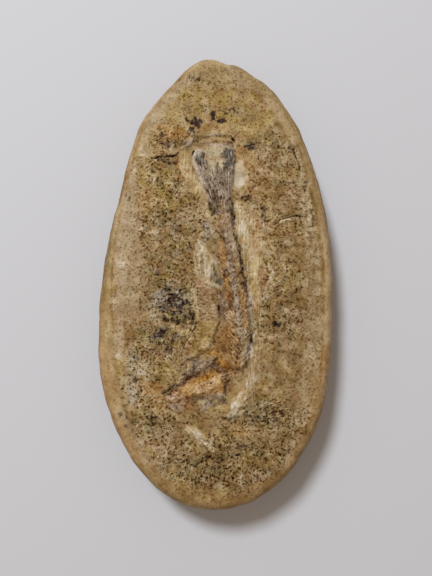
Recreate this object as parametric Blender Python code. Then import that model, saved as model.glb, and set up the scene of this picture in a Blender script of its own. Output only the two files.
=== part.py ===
"""Fossil fish slab: half of a split stone nodule with the remains of a small fish on its open face.

The nodule is one stone, so it is one object. It lies on its domed back with the fish face up.
Blender units are metres, +Z is up and +Y runs towards the fish's head. The origin is under the
middle of the stone, on the surface that it lies on.
"""

import bisect
import math

import bmesh
import bpy
from mathutils import Vector

MM = 0.001

# Driving dimensions
THICKNESS = 13.0 * MM       # from the resting face to the highest ground of the fish face
BELLY_HEIGHT = 5.0 * MM     # level at which the stone is widest
FACE_HEIGHT = 12.3 * MM     # mean level of the split face
RIM_WIDTH = 3.6 * MM        # rounded shoulder between the widest line and the split face
SHOULDER_CURL = 0.8         # 1 for an oval shoulder, less for a squarer one
FORWARD = 0.7 * MM          # moves the stone along, so that the middle of its length is on the origin
BACK_INSET = 0.5            # share of the way to the middle line over which the back curves in
MOAT_DEPTH = 0.35 * MM      # shallow groove that separates the shoulder from the face
MOAT_WIDTH = 1.1 * MM
TROUGH_DEPTH = 0.55 * MM    # ground cleared on both sides of the fish
WAVE_HEIGHT = 0.25 * MM     # slow unevenness of the split face and its two lengths
WAVE_ACROSS = 9.0 * MM
WAVE_ALONG = 14.0 * MM
MIDDLE_LOW = -24.0 * MM     # ends of the line that the rings of faces close on
MIDDLE_HIGH = 23.0 * MM

# Mesh density
GRID_ACROSS = 34
GRID_ALONG = 66
RIM_RINGS = 4
BACK_RINGS = 6
OUTLINE_STEPS = 12          # samples for each stretch between two outline points
DIRECTION_REACH = 0.03      # share of the outline over which its outward direction is evened out

# The stone's outline seen from above, anticlockwise from its lower end, in millimetres. A closed
# smooth curve runs through the points.
OUTLINE_MM = [
    (0.0, -48.0), (6.9, -46.5), (13.7, -41.9), (18.9, -34.9), (22.3, -26.5), (24.0, -14.0),
    (24.4, 1.0), (23.2, 13.4), (20.9, 22.7), (17.8, 31.5), (12.6, 39.5), (8.5, 42.7),
    (6.4, 44.3), (4.3, 45.3), (2.7, 45.5), (-0.8, 46.6), (-3.9, 46.1), (-7.9, 42.9),
    (-12.7, 37.3), (-16.3, 32.2), (-18.7, 25.0), (-20.95, 15.0), (-23.1, 5.0), (-24.4, -8.0),
    (-24.0, -20.5), (-21.4, -29.8), (-17.0, -38.2), (-11.2, -44.3), (-5.7, -47.1),
]

# Ground that stands above or below the face, from head to tail: a path, its half width and its
# height at the middle, all in millimetres.
RELIEF_MM = {
    "skull": ([(0.2, 25.0), (0.4, 21.0), (0.9, 16.5)], 3.6, 0.75),
    "snout_ledge": ([(-7.0, 25.6), (-3.0, 27.4), (1.0, 28.4), (3.8, 27.6)], 0.9, 0.45),
    "trunk": ([(0.9, 16.5), (1.6, 9.0), (2.8, 1.0), (4.2, -7.0), (4.6, -14.0), (4.0, -20.0)], 2.4, 0.85),
    "left_lobe": ([(-2.0, -5.0), (-1.8, -10.0), (-3.6, -15.0)], 2.3, 0.6),
    "tail_bone": ([(-8.2, -24.0), (-4.5, -21.2), (-0.5, -19.4), (2.0, -21.5)], 1.9, 0.7),
    "tail_tip": ([(4.0, -20.0), (5.6, -24.0), (3.6, -28.0)], 1.5, 0.45),
    "slit": ([(-10.3, -24.9), (-8.1, -22.8)], 0.7, -0.8),
    "left_step": ([(-12.4, 23.4), (-8.0, 23.9)], 0.8, -0.5),
    "right_crack": ([(12.5, 9.6), (14.3, 10.7), (18.0, 11.3)], 0.7, -0.4),
}
TROUGH_PATH_MM = [(0.0, 22.0), (1.8, 10.0), (3.4, -2.0), (4.2, -12.0), (1.5, -22.0)]
TROUGH_HALF_WIDTH_MM = 6.0


def catmull_rom(p0, p1, p2, p3, t):
    """Point at t between p1 and p2 on the smooth curve through the four points."""
    return 0.5 * (
        2 * p1
        + (p2 - p0) * t
        + (2 * p0 - 5 * p1 + 4 * p2 - p3) * t ** 2
        + (3 * p1 - p0 - 3 * p2 + p3) * t ** 3
    )


def closed_curve(points_mm):
    """The smooth closed outline as many points, in metres."""
    points = [Vector(p) * MM for p in points_mm]
    count = len(points)
    curve = []
    for i in range(count):
        around = [points[(i + k) % count] for k in (-1, 0, 1, 2)]
        curve += [catmull_rom(*around, step / OUTLINE_STEPS) for step in range(OUTLINE_STEPS)]
    return curve


class Outline:
    """The stone's outline, read by the share of its length from the lower end."""

    def __init__(self, points_mm):
        self.curve = closed_curve(points_mm)
        closed = self.curve + self.curve[:1]
        self.lengths = [0.0]
        for a, b in zip(closed, closed[1:]):
            self.lengths.append(self.lengths[-1] + (b - a).length)

    def place(self, share):
        """Point at a share of the length."""
        wanted = (share % 1.0) * self.lengths[-1]
        low = bisect.bisect_right(self.lengths, wanted, 1, len(self.curve)) - 1
        a, b = self.curve[low], self.curve[(low + 1) % len(self.curve)]
        return a.lerp(b, (wanted - self.lengths[low]) / (self.lengths[low + 1] - self.lengths[low]))

    def outward(self, share):
        """Outward direction at a share of the length, evened out over the small dents."""
        along = self.place(share + DIRECTION_REACH) - self.place(share - DIRECTION_REACH)
        return Vector((along.y, -along.x)).normalized()


def distance_to_path(point, path):
    """Shortest distance from a point to an open run of straight lines."""
    best = math.inf
    for a, b in zip(path, path[1:]):
        start, run = Vector(a), Vector(b) - Vector(a)
        share = max(0.0, min(1.0, (point - start).dot(run) / run.length_squared))
        best = min(best, (point - start - run * share).length)
    return best


def swell(distance, half_width):
    """1 on the path, falling smoothly to 0 at the half width."""
    share = min(1.0, distance / half_width)
    return 0.5 + 0.5 * math.cos(math.pi * share)


def relief(point):
    """Height of the fish, its trough, ledges and cracks over the face."""
    place = point / MM
    height = -TROUGH_DEPTH * swell(distance_to_path(place, TROUGH_PATH_MM), TROUGH_HALF_WIDTH_MM)
    for path, half_width, rise in RELIEF_MM.values():
        height += rise * MM * swell(distance_to_path(place, path), half_width)
    return height


def face_level(point, inward):
    """Level of the split face at a point, given how far it is inward of the shoulder."""
    moat = MOAT_DEPTH * swell(inward, MOAT_WIDTH)
    wave = WAVE_HEIGHT * math.sin(point.x / WAVE_ACROSS) * math.cos(point.y / WAVE_ALONG)
    return min(THICKNESS, FACE_HEIGHT + wave - moat + relief(point))


def loop_place(i, j):
    """Ring number of a grid corner, counted from the edge, its share of the outline's length
    from the lower end, and the place on the line that the rings close on."""
    ring = min(i, GRID_ACROSS - i, j, GRID_ALONG - j)
    across, along = GRID_ACROSS - 2 * ring, GRID_ALONG - 2 * ring
    side = GRID_ALONG / (2.0 * (GRID_ACROSS + GRID_ALONG))
    end = 0.5 - side
    if i == GRID_ACROSS - ring:
        done = (j - ring) / along
        return ring, end / 2 + side * done, done
    if i == ring:
        done = (j - ring) / along
        return ring, 1 - end / 2 - side * done, done
    if j == GRID_ALONG - ring:
        return ring, end / 2 + side + end * (GRID_ACROSS - ring - i) / across, 1.0
    return ring, (end * (i - ring) / across - end / 2) % 1.0, 0.0


def middle_line(along):
    """Point on the line that the rings of faces close on, 0 at its tail end and 1 at its head end."""
    return Vector((0.0, MIDDLE_LOW + (MIDDLE_HIGH - MIDDLE_LOW) * along))


def face_point(outline, i, j):
    """Place of a grid corner: on the rounded shoulder near the edge, on the split face inside."""
    ring, share, along = loop_place(i, j)
    edge, outward = outline.place(share), outline.outward(share)
    if ring <= RIM_RINGS:
        turn = ring / RIM_RINGS * math.pi / 2
        flat = edge - outward * RIM_WIDTH * (1 - max(0.0, math.cos(turn)) ** SHOULDER_CURL)
        rise = math.sin(turn) ** SHOULDER_CURL
        level = BELLY_HEIGHT + (FACE_HEIGHT - MOAT_DEPTH - BELLY_HEIGHT) * rise
        return Vector((flat.x, flat.y, level))
    inner_edge = edge - outward * RIM_WIDTH
    share_in = (ring - RIM_RINGS) / (GRID_ACROSS / 2 - RIM_RINGS)
    flat = inner_edge.lerp(middle_line(along), share_in)
    return Vector((flat.x, flat.y, face_level(flat, (inner_edge - flat).length)))


def back_point(outline, share, along, ring):
    """Place on the curved back, from the widest line at ring 0 down to the resting face."""
    turn = ring / BACK_RINGS * math.pi / 2
    flat = outline.place(share).lerp(middle_line(along), BACK_INSET * (1 - math.cos(turn)))
    return Vector((flat.x, flat.y, BELLY_HEIGHT * (1 - math.sin(turn))))


def stone_mesh():
    """A grid laid over the face, its edge pulled down and in over the back, and a flat foot."""
    outline = Outline(OUTLINE_MM)
    bm = bmesh.new()
    bmesh.ops.create_grid(bm, x_segments=GRID_ACROSS, y_segments=GRID_ALONG, size=0.5)
    on_edge = {}
    for vert in bm.verts:
        i = round((vert.co.x + 0.5) * GRID_ACROSS)
        j = round((vert.co.y + 0.5) * GRID_ALONG)
        ring, share, along = loop_place(i, j)
        if ring == 0:
            on_edge[vert] = share, along
        vert.co = face_point(outline, i, j)

    edge_loop = [e for e in bm.edges if e.is_boundary]
    for ring in range(1, BACK_RINGS + 1):
        made = bmesh.ops.extrude_edge_only(bm, edges=edge_loop)["geom"]
        edge_loop = [g for g in made if isinstance(g, bmesh.types.BMEdge) and g.is_boundary]
        below = {}
        for vert in {v for e in edge_loop for v in e.verts}:
            above = next(e.other_vert(vert) for e in vert.link_edges if e.other_vert(vert) in on_edge)
            below[vert] = on_edge[above]
            vert.co = back_point(outline, *on_edge[above], ring)
        on_edge = below
    bmesh.ops.contextual_create(bm, geom=edge_loop)
    bmesh.ops.translate(bm, verts=bm.verts, vec=(0.0, FORWARD, 0.0))
    bmesh.ops.recalc_face_normals(bm, faces=bm.faces)

    mesh = bpy.data.meshes.new("fossil_slab")
    bm.to_mesh(mesh)
    bm.free()
    mesh.shade_smooth()
    mesh.set_sharp_from_angle(angle=math.radians(50))
    return mesh


def stone_material():
    """Dull ochre limestone."""
    material = bpy.data.materials.new("stone")
    material.use_nodes = True
    shader = material.node_tree.nodes["Principled BSDF"]
    shader.inputs["Base Color"].default_value = (0.36, 0.25, 0.13, 1.0)
    shader.inputs["Roughness"].default_value = 0.85
    shader.inputs["Metallic"].default_value = 0.0
    return material


def main():
    for old in list(bpy.data.objects):
        bpy.data.objects.remove(old)
    slab = bpy.data.objects.new("fossil_slab", stone_mesh())
    slab.data.materials.append(stone_material())
    bpy.context.scene.collection.objects.link(slab)


main()
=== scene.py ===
import math
import bpy
import numpy as np
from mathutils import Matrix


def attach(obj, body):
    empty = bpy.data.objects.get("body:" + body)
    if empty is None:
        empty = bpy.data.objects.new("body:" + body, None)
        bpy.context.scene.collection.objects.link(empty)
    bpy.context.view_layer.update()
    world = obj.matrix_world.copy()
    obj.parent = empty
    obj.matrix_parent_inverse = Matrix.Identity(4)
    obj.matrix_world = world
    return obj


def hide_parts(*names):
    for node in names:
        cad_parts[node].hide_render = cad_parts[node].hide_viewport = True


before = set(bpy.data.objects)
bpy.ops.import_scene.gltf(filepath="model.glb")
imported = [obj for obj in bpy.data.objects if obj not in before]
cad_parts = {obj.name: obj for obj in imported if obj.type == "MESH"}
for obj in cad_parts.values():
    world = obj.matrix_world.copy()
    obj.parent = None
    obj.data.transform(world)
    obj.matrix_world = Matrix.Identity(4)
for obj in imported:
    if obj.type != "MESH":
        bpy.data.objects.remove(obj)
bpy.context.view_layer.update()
print("frame loaded")

mm = 0.001

# the stone's form, in millimetres
stoneForm = {
    "belly": 5.0,           # level at which the stone is widest
    "forward": 0.7,         # from the middle of the marks to the middle of the length
    "halfSize": (24.4, 47.3),       # half its width and half its length
    "face": 12.15,          # mean level of the split face
    "shoulderWidth": 3.6,   # rounded edge, from the widest line to the face
    "shoulderCurl": 0.8,    # 1 for an oval shoulder, less for a squarer one
    "backInset": 0.55,      # share of the way to the middle over which the back curves in
    "middleLow": -24.0,     # ends of the line that the rings of faces close on
    "middleHigh": 23.0,
    "across": 200,          # faces across and along the grid laid on the face, multiples of 4
    "along": 384,
    "shoulderRings": 16,
    # rings down the side, as shares of the way to the middle, and those at which the count of faces halves
    "sideRings": (0.004, 0.012, 0.025, 0.045, 0.07, 0.10, 0.14, 0.19, 0.25),
    "halvedRings": (0.025, 0.10),
    "directionReach": 0.03, # share of the outline over which its outward direction is evened out
    "nicks": 0.16,          # how far the outline wanders
    "rimWander": 0.35,      # how far the inner side of the smooth edge wanders
    "grooveDepth": 0.28,    # deepest groove between the smooth edge and the rough face
    "grooveWidth": 0.45,
    "grooveShade": 0.3,      # width of the painted shade line in the groove and of the one at the widest level
    "edgeShadeWidth": 0.45,
    "edgeFade": (0.5, 4.0, 0.7),        # where the painted shade line at the widest level starts and ends fading, how far
    "backReach": 24.0,      # from the widest line to the middle of the back
    "waves": 0.25,          # height of the slow waves, and how long they are
    "wavesAcross": 9.0,
    "wavesAlong": 14.0,
    "swell": 0.12,          # height of the uneven swelling of the face
    "lumps": 0.10,          # height of the small lumps on the rough face
    "hollows": 0.9,         # depth of the hollows among them, as a share of that
    "calmed": 0.75,         # share of the lumps that a calm mark takes away
    "reliefWarp": 0.25,     # how far noise shifts the relief and the marks
    "markWarp": 0.22,
    "sideMarks": 4.0,       # height above the widest level where the markings start to slide outwards
}

# outline of the widest level seen from above, anticlockwise from the tail end: x, y, the width of the smooth
# edge there and how deep a groove parts it from the rough face
outline = [
    (0, -48, 2.6, 0.2), (6.9, -46.5, 2.4, 0.1), (13.7, -41.9, 2.4, 0.1), (18.9, -34.9, 2.4, 0.2),
    (22.3, -26.5, 2.4, 0.4), (24, -14, 2.7, 0.5), (24.4, 1, 2.9, 0.9), (23.2, 13.4, 2.9, 0.9),
    (20.9, 22.7, 2.9, 0.8), (17.8, 31.5, 2.2, 0.3), (12.6, 39.5, 1.4, 0.1), (8.5, 42.7, 1, 0),
    (6.4, 44.3, 0.9, 0), (4.3, 45.3, 0.8, 0), (2.7, 45.5, 0.7, 0), (-0.8, 46.6, 0.8, 0),
    (-3.9, 46.1, 0.8, 0), (-7.9, 42.9, 1.2, 0.1), (-12.7, 37.3, 1.8, 0.3), (-16.3, 32.2, 1.9, 0.3),
    (-18.7, 25, 1.9, 0.4), (-20.95, 15, 1.9, 0.5), (-23.1, 5, 2.4, 0.5), (-24.4, -8, 3.4, 0.4),
    (-24, -20.5, 4.2, 0.35), (-21.4, -29.8, 4.2, 0.3), (-17, -38.2, 3.4, 0.2), (-11.2, -44.3, 2.8, 0.1),
    (-5.7, -47.1, 2.6, 0.1),
]


def line(strength, soft, *points):      # a run of points (x, y, half width)
    return "line", strength, soft, points


def spot(strength, soft, x, y, rx, ry, turn=0.0):       # an ellipse, turned in degrees
    return "spot", strength, soft, (x, y, rx, ry, turn)


def lines(strength, soft, *runs):       # several lines, all as strong and as soft
    return [line(strength, soft, *run) for run in runs]


def spots(strength, soft, *ellipses):   # several ellipses, all as strong and as soft
    return [spot(strength, soft, *ellipse) for ellipse in ellipses]


def patch(strength, soft, *corners):    # the region inside a run of corners (x, y)
    return "patch", strength, soft, corners


def burst(strength, x, y, reach, count, seed):      # crooked strokes that fan out from a middle
    soft, startWidth, middleWidth, endWidth = 0.12, 0.13, 0.1, 0.02
    strokes = []
    for k in range(count):
        angle = 2 * math.pi * (k + 0.4 * math.sin(seed + 2.1 * k)) / count
        far = reach * (0.6 + 0.4 * math.sin(seed * 1.7 + 3.3 * k))
        bent = angle + 0.6 * math.sin(seed + 5.1 * k)
        start = (x + 0.15 * far * math.cos(angle), y + 0.15 * far * math.sin(angle), startWidth)
        middle = (x + 0.55 * far * math.cos(bent), y + 0.55 * far * math.sin(bent), middleWidth)
        end = (x + far * math.cos(angle), y + far * math.sin(angle), endWidth)
        strokes.append(line(strength, soft, start, middle, end))
    return strokes


# the fish's backbone, from the snout to where the tail fades: x, y and half width of the body
backbone = [
    (-0.4, 27.0, 4.3), (-0.2, 24.0, 4.3), (0.1, 20.0, 3.9), (0.5, 16.5, 3.1), (0.9, 13.5, 2.4),
    (1.3, 9.7, 2.0), (1.8, 7.9, 2.1), (2.35, 5.0, 2.4), (2.9, 2.0, 2.4), (3.1, 0.0, 2.4),
    (3.6, -3.5, 2.6), (4.2, -6.0, 2.7), (4.6, -9.0, 2.8), (4.7, -12.5, 2.9), (4.5, -17.0, 2.6),
    (4.0, -22.0, 2.2),
]

# where the broad tones of the ground lie, in millimetres on the face
zones = {
    "ochre": [
        spot(0.9, 3, -1.5, 36, 9, 5), spot(0.8, 2, -9, 18, 5, 4.5), spot(0.7, 1.5, -9, -9.5, 3, 1.5),
        spot(0.7, 2, 6, 31, 4, 3), *spots(0.6, 2, (12.5, -28, 4, 3.5), (-10, -21, 4, 2.5)),
        *spots(0.5, 2, (1, -31, 5, 3), (12, 0, 3, 6)),
    ],
    "pinkish": [
        line(0.9, 1.2, (19.2, -12, 1.2), (18.6, -20, 1.6), (17.5, -28, 1.4)),
        line(0.9, 1.5, (-17, 18, 1.2), (-17.8, 10, 2.4), (-18, 2, 2.4), (-18.8, -8, 1.6), (-18, -18, 1.2)),
        *spots(0.7, 2, (10.5, 21, 2.5, 4), (13.5, -13, 4, 5)),
        *spots(0.6, 1.5, (-9, -34, 3, 3), (12, 6.5, 3, 2.5)), spot(0.6, 2, -14.5, 4, 2.5, 5),
    ],
    "brownish": [
        line(0.8, 5, (15, 26, 2), (14, 8, 4), (14, -12, 5), (12, -28, 5), (2, -40, 4)),
        spot(0.7, 4, -8, -30, 5, 4), spot(0.5, 3, -13, -14, 3, 4),
    ],
    "greyish": [
        spot(0.9, 2, -9, -6, 4.5, 4), spot(0.8, 1.5, -12, -13, 3, 2), spot(0.8, 2, 10, -29.5, 6, 3),
        *spots(0.7, 2, (-12, -29.5, 3, 2.5), (4, -35, 6, 2)),
        *spots(0.6, 1.5, (-9.5, 7, 4, 5), (10, -8.5, 3, 2.5), (9.5, 26.5, 3, 1.5)),
        spot(0.6, 2, -4, -38, 5, 2.5), spot(0.5, 1.5, -10, 18.5, 3, 3), spot(0.4, 1, 15.5, 24.5, 2, 2),
    ],
    # where the dark grains lie thick
    "pepper": [
        line(0.5, 1, (-16, -20, 1), (-15.5, -25, 1), (-12, -30, 1.5), (-7, -36, 1.5)),
        line(0.35, 1, (3.2, 0, 1.2), (4.4, -16, 1.6)), spot(0.85, 2.5, 1, -39.6, 8, 2.5),
        spot(0.8, 2, -12, -30, 3.5, 3.5), *spots(0.75, 2.5, (-9.5, -5.5, 5, 4.5), (-13, -17, 3.5, 4.5)),
        spot(0.7, 2, -6, -37, 5, 3), spot(0.7, 2.5, 3, -36, 10, 3), spot(0.7, 3, -9, 8, 6, 10),
        spot(0.65, 2.5, 10, -30, 7, 3.5), spot(0.6, 2, -9, -13, 4, 2.5), spot(0.55, 3, -10, 18, 5, 5),
        *spots(0.5, 2, (-9, 27, 4, 2), (13, -2, 4, 4)), spot(0.5, 2.5, 12, -9, 5, 5),
        spot(0.45, 1.5, 11, 26, 4, 2), spot(0.4, 2.5, 12, 14, 6, 9), spot(0.35, 1, -5, -22, 4, 3),
        spot(0.3, 3, 2, 38, 9, 5),
    ],
}

# the head seen from above, round the bare patch between the eyes
headOutline = [
    (-4.6, 24.4), (-4.5, 22.6), (-4.0, 21.4), (-3.2, 20.4), (-2.9, 19.0), (-2.6, 17.8), (-2.0, 16.4),
    (-1.7, 14.9), (-1.5, 13.8), (-1.2, 12.4), (-0.6, 11.4), (0.2, 11.4), (1.4, 12.0), (2.8, 12.0),
    (3.5, 11.4), (3.8, 12.6), (3.7, 13.8), (3.2, 14.4), (3.1, 15.6), (3.3, 17.0), (3.5, 19.0), (3.8, 21.0),
    (4.0, 22.6), (4.0, 25.0), (3.4, 25.9), (2.9, 25.5), (2.3, 25.6), (1.6, 25.0), (1.2, 24.0), (1.6, 22.9),
    (1.5, 21.5), (0.9, 21.2), (0.5, 22.0), (0.0, 21.6), (-0.4, 21.0), (-1.0, 21.2), (-1.6, 22.2),
    (-2.1, 23.2), (-2.5, 24.4), (-3.2, 24.8),
]

# tints as they look under the studio light
tints = {
    "buff": (160, 136, 98), "cream": (186, 163, 125), "butter": (190, 165, 120), "peach": (184, 150, 110),
    "sage": (172, 158, 122), "white": (196, 180, 157), "lilac": (174, 156, 136), "dove": (146, 130, 107),
    "slate": (108, 92, 74), "teal": (98, 92, 78), "olive": (86, 72, 42), "plum": (108, 84, 64),
    "heart": (184, 168, 136), "umber": (88, 66, 42), "rust": (140, 100, 62), "tan": (196, 158, 107),
    "orange": (166, 128, 78), "amber": (152, 104, 34), "ochre": (158, 130, 78), "soot": (66, 53, 43),
    "bone": (146, 129, 107), "flesh": (146, 117, 80), "clay": (156, 128, 92), "rimPaintedShade": (136, 113, 76),
    "rimPaintedLight": (176, 148, 108), "rose": (180, 156, 122), "chalk": (172, 150, 114), "ash": (158, 141, 112),
    "straw": (172, 144, 98), "blush": (166, 122, 86),
}

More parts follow.
